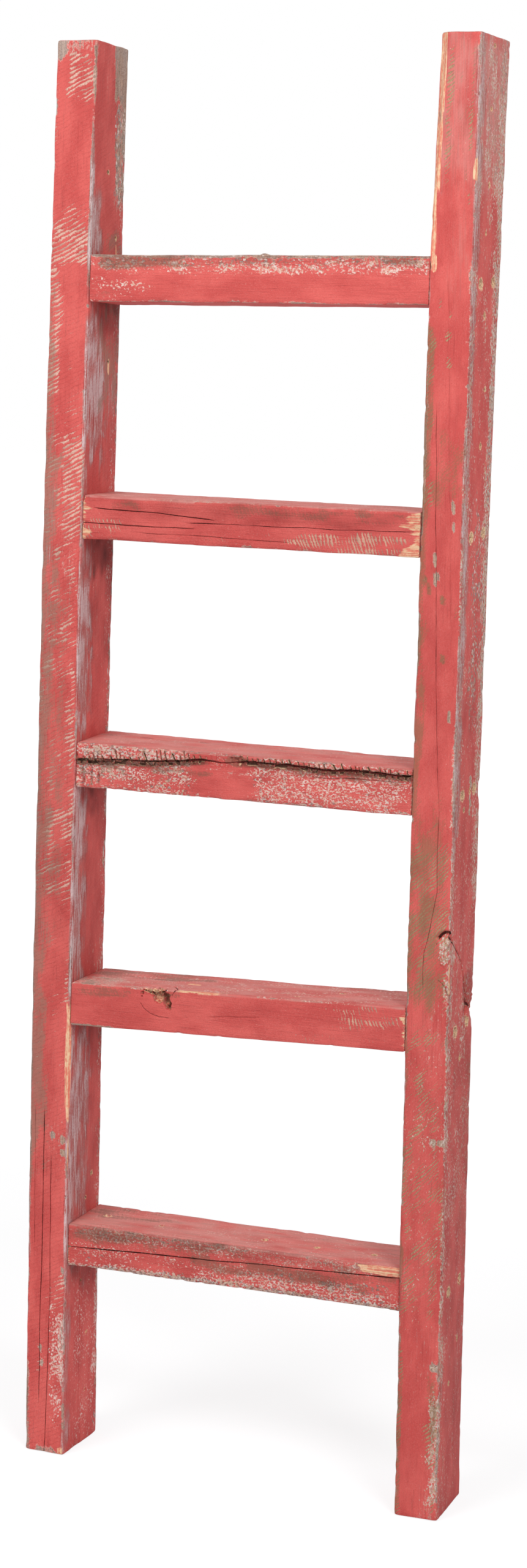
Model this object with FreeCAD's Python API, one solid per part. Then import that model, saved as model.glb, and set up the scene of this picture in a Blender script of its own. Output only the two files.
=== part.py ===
import FreeCAD, Part
import os
from FreeCAD import Placement, Rotation, Vector

# A rustic blanket ladder: two upright rails and five fixed rungs, all sawn from the same
# reclaimed stock. Each rung butts between the rails, face to face, and two countersunk wood
# screws through each rail hold each end of it. It stands on the ends of the rails.
# +X runs to the right seen from the front, +Y to the back and +Z up. The origin is on the
# floor, midway between the rails and midway through their depth. Lengths are in millimetres.

# Stock and overall sizes
LADDER_HEIGHT = 1219.0
RUNG_LENGTH = 305.0
RAIL_THICKNESS = 37.0
STOCK_DEPTH = 67.0
EASED_EDGE_RADIUS = 1.5

# How far each rung's top face lies below the one above it, at the left rail. The first drop
# is from the tops of the rails.
RUNG_1_DROP = 179.5
RUNG_2_DROP = 203.5
RUNG_3_DROP = 211.6
RUNG_4_DROP = 207.8
RUNG_5_DROP = 212.3

# Reclaimed boards differ in thickness
RUNG_1_THICKNESS = 39.8
RUNG_2_THICKNESS = 37.4
RUNG_3_THICKNESS = 38.4
RUNG_4_THICKNESS = 37.2
RUNG_5_THICKNESS = 36.3

# How much higher the right end of each hand-fitted rung sits than the left end
RUNG_1_RISE = 1.0
RUNG_2_RISE = -2.3
RUNG_3_RISE = -1.4
RUNG_4_RISE = 9.8
RUNG_5_RISE = 2.8

# The lowest rung sits a little behind the rails' front faces and is that much narrower
RUNG_5_SETBACK = 3.0

# Wear that took the inner front corner off the top of the right rail
WORN_CORNER_WIDTH = 8.0
WORN_CORNER_DEPTH = 7.0
WORN_CORNER_LENGTH = 190.0

# Countersunk wood screws, two at each end of each rung, set below the rail's outer face
SCREW_LENGTH = 76.0
SCREW_SHANK_DIAMETER = 4.2
SCREW_TIP_LENGTH = 6.0
SCREW_HEAD_DIAMETER = 8.0
SCREW_HEAD_HEIGHT = 3.6
SCREW_HEAD_RIM = 0.5
SCREW_SINK = 2.5
SCREW_DRIVE_WIDTH = 2.6
SCREW_DRIVE_DEPTH = 2.0
SCREW_FRONT_INSET = 20.0
SCREW_BACK_INSET = 17.0
SCREW_STAGGER = 3.0
SCREW_HOLE_CLEARANCE = 0.1
SCREW_TIP_CLEARANCE = 1.0

RAIL_INNER_X = RUNG_LENGTH / 2
RAIL_OUTER_X = RAIL_INNER_X + RAIL_THICKNESS
FRONT_Y = -STOCK_DEPTH / 2
BACK_Y = STOCK_DEPTH / 2
SCREW_HEAD_RADIUS = SCREW_HEAD_DIAMETER / 2
SCREW_SHANK_RADIUS = SCREW_SHANK_DIAMETER / 2

LEFT = -1
RIGHT = 1


class Rung:
    """Where one rung lies: its top face at each rail, its thickness and its front face."""

    def __init__(self, left_top, rise, thickness, setback=0.0):
        self.tops = {LEFT: left_top, RIGHT: left_top + rise}
        self.thickness = thickness
        self.front_y = FRONT_Y + setback

    def corner(self, side, fall):
        """A point on the rung's front face at one rail, so far below the top face."""
        return Vector(side * RAIL_INNER_X, self.front_y, self.tops[side] - fall)

    def screw_points(self, side):
        """Where the two screws' axes leave the outer face of the rail on one side."""
        middle = self.tops[side] - self.thickness / 2
        x = side * RAIL_OUTER_X
        front = Vector(x, FRONT_Y + SCREW_FRONT_INSET, middle - SCREW_STAGGER / 2)
        back = Vector(x, BACK_Y - SCREW_BACK_INSET, middle + SCREW_STAGGER / 2)
        return front, back


def rungs():
    """The five rungs, from the top down, by node name."""
    top_1 = LADDER_HEIGHT - RUNG_1_DROP
    top_2 = top_1 - RUNG_2_DROP
    top_3 = top_2 - RUNG_3_DROP
    top_4 = top_3 - RUNG_4_DROP
    top_5 = top_4 - RUNG_5_DROP
    return {
        "rung_1": Rung(top_1, RUNG_1_RISE, RUNG_1_THICKNESS),
        "rung_2": Rung(top_2, RUNG_2_RISE, RUNG_2_THICKNESS),
        "rung_3": Rung(top_3, RUNG_3_RISE, RUNG_3_THICKNESS),
        "rung_4": Rung(top_4, RUNG_4_RISE, RUNG_4_THICKNESS),
        "rung_5": Rung(top_5, RUNG_5_RISE, RUNG_5_THICKNESS, RUNG_5_SETBACK),
    }


def eased(solid, lengthwise):
    """The solid with its long edges rounded by handling; lengthwise is the grain direction."""
    def runs_lengthwise(edge):
        start, end = edge.Vertexes[0].Point, edge.Vertexes[-1].Point
        along = (end - start).dot(lengthwise)
        return abs(along) > (end - start).Length * 0.9

    edges = [edge for edge in solid.Edges if runs_lengthwise(edge)]
    return solid.makeFillet(EASED_EDGE_RADIUS, edges)


def turned(profile):
    """The solid of revolution about Z of an outline of (radius, height) points."""
    points = [Vector(radius, 0, height) for radius, height in profile]
    outline = Part.makePolygon(points + points[:1])
    return Part.Face(outline).revolve(Vector(0, 0, 0), Vector(0, 0, 1), 360)


def screw():
    """A screw that points down, with the flat of its head at the origin."""
    body = turned([
        (0, 0),
        (SCREW_HEAD_RADIUS, 0),
        (SCREW_HEAD_RADIUS, -SCREW_HEAD_RIM),
        (SCREW_SHANK_RADIUS, -SCREW_HEAD_HEIGHT),
        (SCREW_SHANK_RADIUS, SCREW_TIP_LENGTH - SCREW_LENGTH),
        (0, -SCREW_LENGTH),
    ])
    corner = Vector(-SCREW_DRIVE_WIDTH / 2, -SCREW_DRIVE_WIDTH / 2, -SCREW_DRIVE_DEPTH)
    drive = Part.makeBox(SCREW_DRIVE_WIDTH, SCREW_DRIVE_WIDTH, SCREW_DRIVE_DEPTH, corner)
    return body.cut(drive)


def screw_hole():
    """The hole for one screw. Its cone is the head's own, so the head seats in it."""
    head = SCREW_HEAD_RADIUS + SCREW_HOLE_CLEARANCE
    shank = SCREW_SHANK_RADIUS + SCREW_HOLE_CLEARANCE
    slope = (SCREW_HEAD_HEIGHT - SCREW_HEAD_RIM) / (SCREW_HEAD_RADIUS - SCREW_SHANK_RADIUS)
    seat_top = SCREW_HOLE_CLEARANCE * slope - SCREW_HEAD_RIM
    seat_bottom = SCREW_HOLE_CLEARANCE * slope - SCREW_HEAD_HEIGHT
    return turned([
        (0, SCREW_SINK),
        (head, SCREW_SINK),
        (head, seat_top),
        (shank, seat_bottom),
        (shank, -SCREW_LENGTH - SCREW_TIP_CLEARANCE),
        (0, -SCREW_LENGTH - SCREW_TIP_CLEARANCE),
    ])


def driven(shape, side, point):
    """A copy of a screw or a hole, sunk into the rail on one side at a point on its face."""
    copy = shape.copy()
    sunk = point - Vector(side * SCREW_SINK, 0, 0)
    copy.Placement = Placement(sunk, Rotation(Vector(0, 1, 0), side * 90))
    return copy


def holes(side, all_rungs):
    """Every screw hole on one side of the ladder, through the rail and into the rungs."""
    return [driven(screw_hole(), side, point)
            for rung in all_rungs for point in rung.screw_points(side)]


def rail(side):
    """A plain upright rail."""
    left_x = min(side * RAIL_INNER_X, side * RAIL_OUTER_X)
    corner = Vector(left_x, FRONT_Y, 0)
    board = Part.makeBox(RAIL_THICKNESS, STOCK_DEPTH, LADDER_HEIGHT, corner)
    return eased(board, Vector(0, 0, 1))


def worn_corner():
    """What wear took off the right rail: a long wedge that runs out down the corner."""
    corner = Vector(RAIL_INNER_X, FRONT_Y, LADDER_HEIGHT)
    across = corner + Vector(WORN_CORNER_WIDTH, 0, 0)
    behind = corner + Vector(0, WORN_CORNER_DEPTH, 0)
    below = corner - Vector(0, 0, WORN_CORNER_LENGTH)
    triangles = [(corner, across, behind), (corner, across, below),
                 (corner, behind, below), (across, behind, below)]
    faces = [Part.Face(Part.makePolygon([a, b, c, a])) for a, b, c in triangles]
    return Part.Solid(Part.Shell(faces))


def rung_board(rung):
    """A rung with plumb ends, so that it meets both rails flat even where it slopes."""
    corners = [rung.corner(LEFT, 0), rung.corner(RIGHT, 0),
               rung.corner(RIGHT, rung.thickness), rung.corner(LEFT, rung.thickness)]
    front = Part.Face(Part.makePolygon(corners + corners[:1]))
    board = front.extrude(Vector(0, BACK_Y - rung.front_y, 0))
    return eased(board, Vector(1, 0, 0))


def build():
    """Every node of the ladder by name."""
    by_name = rungs()
    left_holes = holes(LEFT, by_name.values())
    right_holes = holes(RIGHT, by_name.values())
    nodes = {
        "rail_left": rail(LEFT).cut(left_holes),
        "rail_right": rail(RIGHT).cut(worn_corner()).cut(right_holes),
    }
    for name, rung in by_name.items():
        nodes[name] = rung_board(rung).cut(left_holes + right_holes)
        for side, word in ((LEFT, "left"), (RIGHT, "right")):
            pair = [driven(screw(), side, point) for point in rung.screw_points(side)]
            nodes[f"{name}_screws_{word}"] = Part.makeCompound(pair)
    return nodes


os.makedirs("parts", exist_ok=True)
for node, shape in build().items():
    shape.exportStep(f"parts/{node}.step")
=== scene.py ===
import math

import bpy
import numpy as np
from mathutils import Euler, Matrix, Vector


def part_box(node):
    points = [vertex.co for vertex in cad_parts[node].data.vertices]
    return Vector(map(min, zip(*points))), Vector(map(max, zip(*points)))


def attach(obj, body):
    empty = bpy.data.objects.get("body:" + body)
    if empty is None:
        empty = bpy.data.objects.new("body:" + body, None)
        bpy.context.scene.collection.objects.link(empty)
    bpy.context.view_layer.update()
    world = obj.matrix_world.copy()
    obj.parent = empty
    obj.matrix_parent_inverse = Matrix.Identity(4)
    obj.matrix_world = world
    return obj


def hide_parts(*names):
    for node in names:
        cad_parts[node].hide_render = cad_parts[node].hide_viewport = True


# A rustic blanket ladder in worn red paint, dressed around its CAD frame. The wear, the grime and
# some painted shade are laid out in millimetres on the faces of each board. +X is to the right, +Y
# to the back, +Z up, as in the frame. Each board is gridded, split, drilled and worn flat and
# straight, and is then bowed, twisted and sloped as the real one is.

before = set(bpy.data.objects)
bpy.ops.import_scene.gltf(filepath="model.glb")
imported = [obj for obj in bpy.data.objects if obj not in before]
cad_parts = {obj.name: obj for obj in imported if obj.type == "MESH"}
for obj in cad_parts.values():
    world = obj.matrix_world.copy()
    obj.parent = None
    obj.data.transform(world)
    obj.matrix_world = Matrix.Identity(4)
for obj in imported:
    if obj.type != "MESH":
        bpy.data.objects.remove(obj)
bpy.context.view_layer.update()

MM = 0.001

# The ladder's sizes in the CAD, in millimetres: a rail's middle is that far from the ladder's
LADDER_HEIGHT = 1219.0
RUNG_LENGTH = 305.0
RAIL_MIDDLE = 171.0
STOCK_DEPTH = 67.0
RUNG_NUMBERS = (1, 2, 3, 4, 5)

# The photograph's frame and the lens that fits it
IMAGE_HEIGHT = 2560
LENS_PIXELS = 4742.0
SENSOR_HEIGHT = 36.0
CAMERA_PLACE = (0.9163, -2.2652, 0.9174)
CAMERA_TURN = (85.906, -1.620, 22.003)
CAMERA_SHIFT = (-0.0044, -0.1096)

# How the dried stock has moved, in millimetres and radians: both rails bow to the left halfway
# up, and each is twisted from its foot to its head.
RAIL_BOW = 3.7
LEFT_TWIST = (-0.002, 0.023)
RIGHT_TWIST = (0.030, -0.040)

# How much higher the back edge of each rung stands at its left and right end, in millimetres
BACK_LIFT = {"rung_1": (0, 0), "rung_2": (2, 1), "rung_3": (4, 1.7), "rung_4": (1, 0), "rung_5": (2, 0.5)}

# The grid of each board's faces, in millimetres, and how many pieces its length is divided into
RAIL_GRID = 2.1
RAIL_DIVISIONS = (22, 22)
RUNG_GRID = 1.65
RUNG_DIVISIONS = (13, 14)
EASED_EDGE = 1.5

# A corner this near to a sawn face counts as on it, and may stand this much proud of it
FACE_SKIN = 1.7
PROUD = 1.4

# The wear, the grime and the painted shade of each corner, from 0 to 1, three kinds in each layer
# that the paint reads. Dark lays grime and painted shade together; pit and gape also lay painted
# shade inside pits and splits.
CHANNELS = {
    "wear": ("bare", "strokes", "grey"),
    "soil_and_shade": ("stain", "faded", "dark"),
    "harm": ("flake", "raw", "speckle"),
    "split": ("near", "gape", "pit"),
}

# How far a patch of wear fades along and across a face where nothing else is said, in millimetres
FADE = (10, 2)

# How far from a split its nearness is noted, in millimetres, and how long its ends close over
NEAR_REACH = 4.0
SPLIT_END = 18

# The torn pits round the screws, how far out of the face their cutters stand, in millimetres,
# and how far the paint is torn round any pit, for its radius
SCREW_PIT_RADIUS = 4.4
SCREW_PIT_DEPTH = 2.9
CUTTER_ABOVE = 1.0
TORN_RIM = 1.4

# The smallest share of a move that is worth making, the shortest edge along a board that is
# divided and how nearly along it has to run, and how near to its end a rung's rise is measured
LEAST_SHARE = 1e-4
SHORTEST_RUN = 5.0
NEARLY_ALONG = 0.98
END_ZONE = 4.0


# ---------------------------------------------------------------- shaping tools


def only(piece):
    """Selects one piece and makes it the active one."""
    bpy.ops.object.select_all(action="DESELECT")
    piece.select_set(True)
    bpy.context.view_layer.objects.active = piece


def open_with(piece, kind, corners=False, edges=False, faces=False):
    """Opens a piece for editing with only these corners, edges or faces selected."""
    mesh = piece.data
    for parts, chosen in ((mesh.vertices, corners), (mesh.edges, edges), (mesh.polygons, faces)):
        parts.foreach_set("select", np.zeros(len(parts), dtype=bool) | chosen)
    only(piece)
    kinds = ("corners", "edges", "faces")
    bpy.context.tool_settings.mesh_select_mode = tuple(kind == name for name in kinds)
    bpy.ops.object.mode_set(mode="EDIT")


def join(pieces):
    """Joins pieces into the first of them."""
    only(pieces[0])
    for piece in pieces[1:]:
        piece.select_set(True)
    if len(pieces) > 1:
        bpy.ops.object.join()
    return pieces[0]


def cut_away(piece, cutter):
    """Cuts the shape of a cutter out of a piece, and removes the cutter."""
    only(piece)
    bpy.ops.object.modifier_add(type="BOOLEAN")
    cut = piece.modifiers[-1]
    cut.operation = "DIFFERENCE"
    cut.solver = "EXACT"
    cut.object = cutter
    bpy.ops.object.modifier_apply(modifier=cut.name)
    bpy.data.objects.remove(cutter)


def set_in_place():
    """Gives the active piece's place, turn and size to its mesh."""
    bpy.ops.object.transform_apply(location=True, rotation=True, scale=True)


def corner_places(piece):
    """Where every corner of a piece's mesh is, in metres."""
    places = np.empty(len(piece.data.vertices) * 3)
    piece.data.vertices.foreach_get("co", places)
    return places.reshape(-1, 3)


def add_block(name, low, high):
    """A block of wood between two corners, the start of a board."""
    bpy.ops.object.select_all(action="DESELECT")
    middle = [(a + b) / 2 for a, b in zip(low, high)]
    size = [b - a for a, b in zip(low, high)]
    bpy.ops.mesh.primitive_cube_add(size=1.0, location=middle, scale=size)
    block = bpy.context.object
    block.name = name
    block.data.name = name
    set_in_place()
    return block


def ease_edges(block):
    """Rounds every edge of a block as years of handling do."""
    only(block)
    bpy.ops.object.mode_set(mode="EDIT")
    bpy.ops.mesh.select_all(action="SELECT")
    bpy.ops.mesh.bevel(offset=EASED_EDGE * MM, segments=2, affect="EDGES")
    bpy.ops.object.mode_set(mode="OBJECT")


def score(block, axis, places):
    """Scores lines along a block with planes square to one axis, at places in metres."""
    normal = [0.0, 0.0, 0.0]
    normal[axis] = 1.0
    only(block)
    bpy.ops.object.mode_set(mode="EDIT")
    for place in places:
        point = [0.0, 0.0, 0.0]
        point[axis] = place
        bpy.ops.mesh.select_all(action="SELECT")
        bpy.ops.mesh.bisect(plane_co=point, plane_no=normal)
    bpy.ops.object.mode_set(mode="OBJECT")


def divide_length(block, axis, rounds):
    """Divides the edges that run along a block, round after round."""
    for parts in rounds:
        mesh = block.data
        places = corner_places(block)
        ends = np.empty(len(mesh.edges) * 2, dtype=np.int32)
        mesh.edges.foreach_get("vertices", ends)
        ends = ends.reshape(-1, 2)
        run = np.abs(places[ends[:, 1]] - places[ends[:, 0]])
        straight = run[:, axis] > NEARLY_ALONG * np.linalg.norm(run, axis=1)
        chosen = (run[:, axis] > SHORTEST_RUN * MM) & straight
        held = np.zeros(len(mesh.vertices), dtype=bool)
        held[ends[chosen].ravel()] = True
        open_with(block, "edges", held, chosen)
        bpy.ops.mesh.subdivide(number_cuts=parts - 1)
        bpy.ops.object.mode_set(mode="OBJECT")


def press(piece, amounts, direction="NORMAL"):
    """Moves every corner of a piece by its own amount, in millimetres, along a direction."""
    for sign in (1, -1):
        share = np.clip(amounts * sign, 0, None)
        reach = share.max()
        if reach < LEAST_SHARE:
            continue
        group = piece.vertex_groups.new(name="press")
        for index in np.flatnonzero(share > reach * LEAST_SHARE):
            group.add([int(index)], float(share[index] / reach), "REPLACE")
        only(piece)
        bpy.ops.object.modifier_add(type="DISPLACE")
        move = piece.modifiers[-1]
        move.direction = direction
        move.strength = sign * reach * MM
        move.mid_level = 0.0
        move.vertex_group = group.name
        bpy.ops.object.modifier_apply(modifier=move.name)
        piece.vertex_groups.clear()


def smooth(value, low, high):
    """Rises softly from 0 to 1 between low and high."""
    share = np.clip((value - low) / (high - low), 0, 1)
    return share * share * (3 - 2 * share)


def hills(along, across, seed):
    """Smooth random heights between -1 and 1, with a spacing of one, the same on every run."""
    table = np.random.default_rng(seed).uniform(-1, 1, (64, 64))
    row = np.floor(along).astype(int)
    column = np.floor(across).astype(int)
    down = smooth(along - row, 0, 1)
    over = smooth(across - column, 0, 1)
    corner = [[table[(row + i) % 64, (column + j) % 64] for j in (0, 1)] for i in (0, 1)]
    first = corner[0][0] * (1 - over) + corner[0][1] * over
    second = corner[1][0] * (1 - over) + corner[1][1] * over
    return first * (1 - down) + second * down


# ---------------------------------------------------------------- boards


class Crack:
    """A split that follows the grain over a face, through points of along and across."""

    def __init__(self, face, path, gape=0.3, depth=1.5, wander=0.5, seed=1, width=0.45):
        self.face = face
        self.gape = gape
        self.along = [point[0] for point in path]
        self.across = [point[1] for point in path]
        self.width = width
        self.depth = depth
        self.wander = wander
        self.seed = seed
        self.home = sum(self.across) / len(self.across)

    def line(self, along):
        """How far across the face the split is, at places along the board."""
        drift = hills(along / 23, along * 0, self.seed) * self.wander
        return np.interp(along, self.along, self.across) + drift

    def opening(self, along):
        """How open the split is, from 0 past its ends to 1 in its middle."""
        start = smooth(along, self.along[0], self.along[0] + SPLIT_END)
        stop = 1 - smooth(along, self.along[-1] - SPLIT_END, self.along[-1])
        if self.along[0] <= 0:
            start = 1.0
        unsteady = 0.75 + 0.25 * hills(along / 9, along * 0 + 3, self.seed)
        return start * stop * unsteady


class Board:
    """One board while it is worn: its mesh, and where each corner lies on the sawn faces."""

    def __init__(self, node, grain, cracks=(), pits=(), finer=()):
        low, high = (Vector(corner) for corner in board_box(node))
        self.node = node
        self.grain = grain
        self.cracks = cracks
        self.pits = pits
        self.low = np.array(low)
        self.size = (np.array(high) - self.low) / MM
        self.length_axis = 2 if grain == "Z" else 0
        self.width_axis = 0 if grain == "Z" else 2
        self.width = self.size[self.width_axis]
        self.depth = self.size[1]
        self.length = self.size[self.length_axis]
        self.spots = None
        self.channel = None
        self.piece = add_block(node + "_board", low, high)
        ease_edges(self.piece)
        self.grid()
        if pits:
            self.drill()
        for part in finer:
            self.refine(*part)
        self.split_wide_faces()
        self.learn()
        self.bend_along_cracks()
        self.learn()

    def grid(self):
        """Scores the faces and divides the length, with three lines for every crack."""
        spacing = RAIL_GRID if self.grain == "Z" else RUNG_GRID
        for axis, names in ((self.width_axis, ("front", "back")), (1, self.edge_faces())):
            homes = [(crack.home, crack.width) for crack in self.cracks if crack.face in names]
            lines = [home + side * width for home, width in homes for side in (-1, 0, 1)]
            reach = self.size[axis]
            count = round((reach - 2 * EASED_EDGE) / spacing)
            for step in range(1, count):
                place = EASED_EDGE + (reach - 2 * EASED_EDGE) * step / count
                if all(abs(place - line) > 0.45 * spacing for line in lines):
                    lines.append(place)
            score(self.piece, axis, [self.low[axis] + line * MM for line in sorted(lines)])
        divide_length(self.piece, self.length_axis, RAIL_DIVISIONS if self.grain == "Z" else RUNG_DIVISIONS)

    def edge_faces(self):
        """The two faces beside the front: a rail's left and right, a rung's bottom and top."""
        return ("left", "right") if self.grain == "Z" else ("bottom", "top")

    def drill(self):
        """Cuts the torn pits of nails and screws, all at once."""
        cut_away(self.piece, join([pit_cutter(self, *pit) for pit in self.pits]))

    def learn(self):
        """Notes how far each corner is from the low corner of the board, in millimetres."""
        self.spots = (corner_places(self.piece) - self.low) / MM
        count = len(self.spots)
        if self.channel is None or len(self.channel["near"]) != count:
            self.channel = {name: np.zeros(count) for names in CHANNELS.values() for name in names}
            self.channel["near"] += 1

    def refine(self, face, along, across, rounds=1):
        """Divides the faces in one part of the board further, for finer shapes."""
        for _ in range(rounds):
            self.learn()
            on, u, v = self.face(face)
            inside = on & (u > along[0]) & (u < along[1]) & (v > across[0]) & (v < across[1])
            open_with(self.piece, "corners", inside)
            bpy.ops.mesh.subdivide(number_cuts=1)
            bpy.ops.object.mode_set(mode="OBJECT")

    def split_wide_faces(self):
        """Divides the faces of more than four corners while the board is still flat."""
        faces = self.piece.data.polygons
        corners = np.empty(len(faces), dtype=int)
        faces.foreach_get("loop_total", corners)
        open_with(self.piece, "faces", faces=corners > 4)
        bpy.ops.mesh.quads_convert_to_tris(quad_method="BEAUTY", ngon_method="CLIP")
        bpy.ops.object.mode_set(mode="OBJECT")

    def face(self, name):
        """Which corners are on a face, and their places along and across it."""
        along = self.spots[:, self.length_axis]
        width = self.spots[:, self.width_axis]
        deep = self.spots[:, 1]
        if name == "front":
            return deep < FACE_SKIN, along, width
        if name == "back":
            return deep > self.depth - FACE_SKIN, along, width
        if name in ("left", "bottom"):
            return width < FACE_SKIN, along, deep
        return width > self.width - FACE_SKIN, along, deep

    def bend_along_cracks(self):
        """Leads the scored lines sideways so that they follow the cracks."""
        for name in dict.fromkeys(crack.face for crack in self.cracks):
            cracks = sorted((c for c in self.cracks if c.face == name), key=lambda c: c.home)
            on, along, across = self.face(name)
            reach = self.width if name in ("front", "back") else self.depth
            homes = [0.0] + [crack.home for crack in cracks] + [reach]
            lines = [along * 0] + [crack.line(along) for crack in cracks] + [along * 0 + reach]
            moved = across.copy()
            for low, high, start, stop in zip(homes, homes[1:], lines, lines[1:]):
                within = (across >= low) & (across <= high)
                share = (across - low) / (high - low)
                moved = np.where(within, start + (stop - start) * share, moved)
            shift = np.where(on, moved - across, 0)
            axis = self.width_axis if name in ("front", "back") else 1
            press(self.piece, shift, "XYZ"[axis])
            for crack in cracks:
                opening = crack.opening(along)
                off = np.abs(across - crack.home)
                inside = on & (opening > 0.02) & (off < NEAR_REACH)
                self.note_split(inside, off, opening * crack.gape)
                groove = np.clip(1 - off / crack.width, 0, 1) * opening * crack.depth
                press(self.piece, np.where(on, -groove, 0))

    def note_split(self, on, far, gape):
        """Notes how far corners are from a split, and how wide it gapes, where none is nearer."""
        closer = on & (far / NEAR_REACH < self.channel["near"])
        self.channel["near"] = np.where(closer, far / NEAR_REACH, self.channel["near"])
        self.channel["gape"] = np.where(closer, gape, self.channel["gape"])

    def mark(self, channel, level, on=True):
        """Raises one kind of mark to a level where it is lower, all over or only on some corners."""
        worn = self.channel[channel]
        self.channel[channel] = np.where(on, np.maximum(worn, level), worn)

    def wash(self, channel, face, along, across, strength, soft=FADE):
        """Lays a ragged patch of one kind of mark over part of a face, with ends and sides that fade."""
        on, u, v = self.face(face)
        seed = len(channel) + int(along[0]) % 17
        ragged = 1.3 + 0.8 * hills(u / 11, v / 5, seed)
        strength = strength * (0.85 + 0.35 * hills(u / 16, v / 7, seed + 40))
        u = u + soft[0] * 0.8 * hills(u / 14, v / 4, seed + 20)
        v = v + soft[1] * 0.8 * hills(u / 14, v / 9, seed + 60)
        start = smooth(u, along[0] - soft[0] * ragged, along[0] + soft[0] * ragged)
        stop = 1 - smooth(u, along[1] - soft[0] * ragged, along[1] + soft[0] * ragged)
        left = smooth(v, across[0] - soft[1] * ragged, across[0] + soft[1] * ragged)
        right = 1 - smooth(v, across[1] - soft[1] * ragged, across[1] + soft[1] * ragged)
        if across[0] <= 0:
            left = 1.0
        self.mark(channel, strength * start * stop * left * right, on)

    def wear(self, face, **patches):
        """Washes a face, channel by channel. A row says where a patch starts and stops along the
        board, where it starts and stops across the face, how strong it is, and how far it fades
        along and across, all but the strength in millimetres."""
        for channel, rows in patches.items():
            for start, stop, low, high, strength, *soft in rows:
                self.wash(channel, face, (start, stop), (low, high), strength, soft or FADE)

    def spot(self, channel, face, centre, radii, strength):
        """Lays a round or long spot of one kind of mark on a face."""
        on, u, v = self.face(face)
        far = np.hypot((u - centre[0]) / radii[0], (v - centre[1]) / radii[1])
        far = far * (1 + 0.18 * hills(u / 2.5, v / 2.5, int(centre[0]) % 29))
        self.mark(channel, strength * (1 - smooth(far, 0.55, 1.15)), on)

    def trace(self, face, points, gape, depth):
        """Opens a split along a bent line anywhere on a face."""
        on, u, v = self.face(face)
        far = np.full(len(u), 99.0)
        for (near_u, near_v), (far_u, far_v) in zip(points, points[1:]):
            run_u, run_v = far_u - near_u, far_v - near_v
            share = ((u - near_u) * run_u + (v - near_v) * run_v) / (run_u ** 2 + run_v ** 2)
            share = np.clip(share, 0, 1)
            far = np.minimum(far, np.hypot(u - near_u - share * run_u, v - near_v - share * run_v))
        self.note_split(on, far, gape)
        self.sink(face, np.where(on, np.clip(1 - far / (gape + 0.8), 0, 1) * depth, 0))

    def trim(self):
        """Presses back every corner that stands more than a little proud of the sawn faces."""
        self.learn()
        for axis, reach in ((self.width_axis, self.width), (1, self.depth)):
            place = self.spots[:, axis]
            proud = np.clip(place - reach - PROUD, 0, None) + np.clip(place + PROUD, None, 0)
            press(self.piece, -proud, "XYZ"[axis])

    def sink(self, face, amounts):
        """Moves the corners of a face straight into the board, or out where amounts are negative."""
        axis = 1 if face in ("front", "back") else self.width_axis
        inward = 1 if face in ("front", "left", "bottom") else -1
        press(self.piece, amounts * inward, "XYZ"[axis])

    def hollow(self, face, centre, radii, depth, rough=0.3):
        """Presses a rough hollow into a face, or raises a lump where depth is negative."""
        on, u, v = self.face(face)
        far = np.hypot((u - centre[0]) / radii[0], (v - centre[1]) / radii[1])
        shape = 1 - smooth(far * (1 + rough * hills(u / 3, v / 3, 7)), 0.35, 1.0)
        shape = shape * (1 + rough * hills(u / 1.8, v / 1.8, 8))
        self.sink(face, np.where(on, depth * shape, 0))

    def weather(self, seed, unevenness=0.25, edge_wear=0.7):
        """Makes the sawn faces uneven and bites small pieces out of the long edges."""
        along, width, deep = (self.spots[:, axis] for axis in (self.length_axis, self.width_axis, 1))
        round_it = width + deep
        uneven = hills(along / 37, round_it / 15, seed) + 0.5 * hills(along / 9, round_it / 6, seed + 1)
        to_side = np.minimum(width, self.width - width)
        to_face = np.minimum(deep, self.depth - deep)
        corner = np.hypot(to_side, to_face)
        far_side = width > self.width / 2
        far_face = deep > self.depth / 2
        bites = np.clip(hills(along / 6, far_side * 5 + far_face * 9.5, seed + 2), 0, 1)
        long_bites = np.clip(hills(along / 31, far_side * 7 + far_face * 3.5, seed + 3), 0, 1)
        edge = np.exp(-(corner / 2.6) ** 2) * (bites ** 2 * 0.8 + long_bites * 0.6 + 0.12)
        to_end = np.minimum(along, self.length - along)
        calm = smooth(to_end, 0, 3) if self.grain == "X" else 1.0
        press(self.piece, (uneven * unevenness - edge * edge_wear * 1.6) * calm)
        worn = 1.0 if self.grain == "Z" else 0.55
        self.mark("bare", np.clip(edge * worn, 0, 0.85))

    def finish(self, finish):
        """Writes the marks onto the mesh, gives the board its paint and puts it in the ladder."""
        mesh = self.piece.data
        for name, parts in CHANNELS.items():
            values = np.stack([np.clip(self.channel[part], 0, 1) for part in parts], axis=1)
            layer = mesh.attributes.new(name, "FLOAT_VECTOR", "POINT")
            layer.data.foreach_set("vector", values.astype(np.float32).ravel())
        mesh.materials.clear()
        mesh.materials.append(finish)
        self.trim()
        if self.grain == "X":
            share = np.clip(self.spots[:, 0] / self.length, 0, 1)
            lift = BACK_LIFT[self.node][0] * (1 - share) + BACK_LIFT[self.node][1] * share
            press(self.piece, share * rung_rise(self.node) + lift * self.spots[:, 1] / self.depth, "Z")
        settle(self.piece)
        only(self.piece)
        bpy.ops.object.shade_smooth_by_angle(angle=math.radians(32))
        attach(self.piece, "root")
        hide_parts(self.node)


def node_corners(node):
    """The corners of a CAD node's mesh, in metres."""
    return corner_places(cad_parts[node])


def rung_rise(node):
    """How much higher a rung's right end is than its left end, in millimetres."""
    places = node_corners(node)
    left = places[places[:, 0] < places[:, 0].min() + END_ZONE * MM][:, 2].max()
    right = places[places[:, 0] > places[:, 0].max() - END_ZONE * MM][:, 2].max()
    return (right - left) / MM


def board_box(node):
    """The low and high corner of a board before it was sloped."""
    low, high = (list(corner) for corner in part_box(node))
    if node.startswith("rung"):
        rise = rung_rise(node) * MM
        low[2] -= min(rise, 0)
        high[2] -= max(rise, 0)
    return low, high


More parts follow.
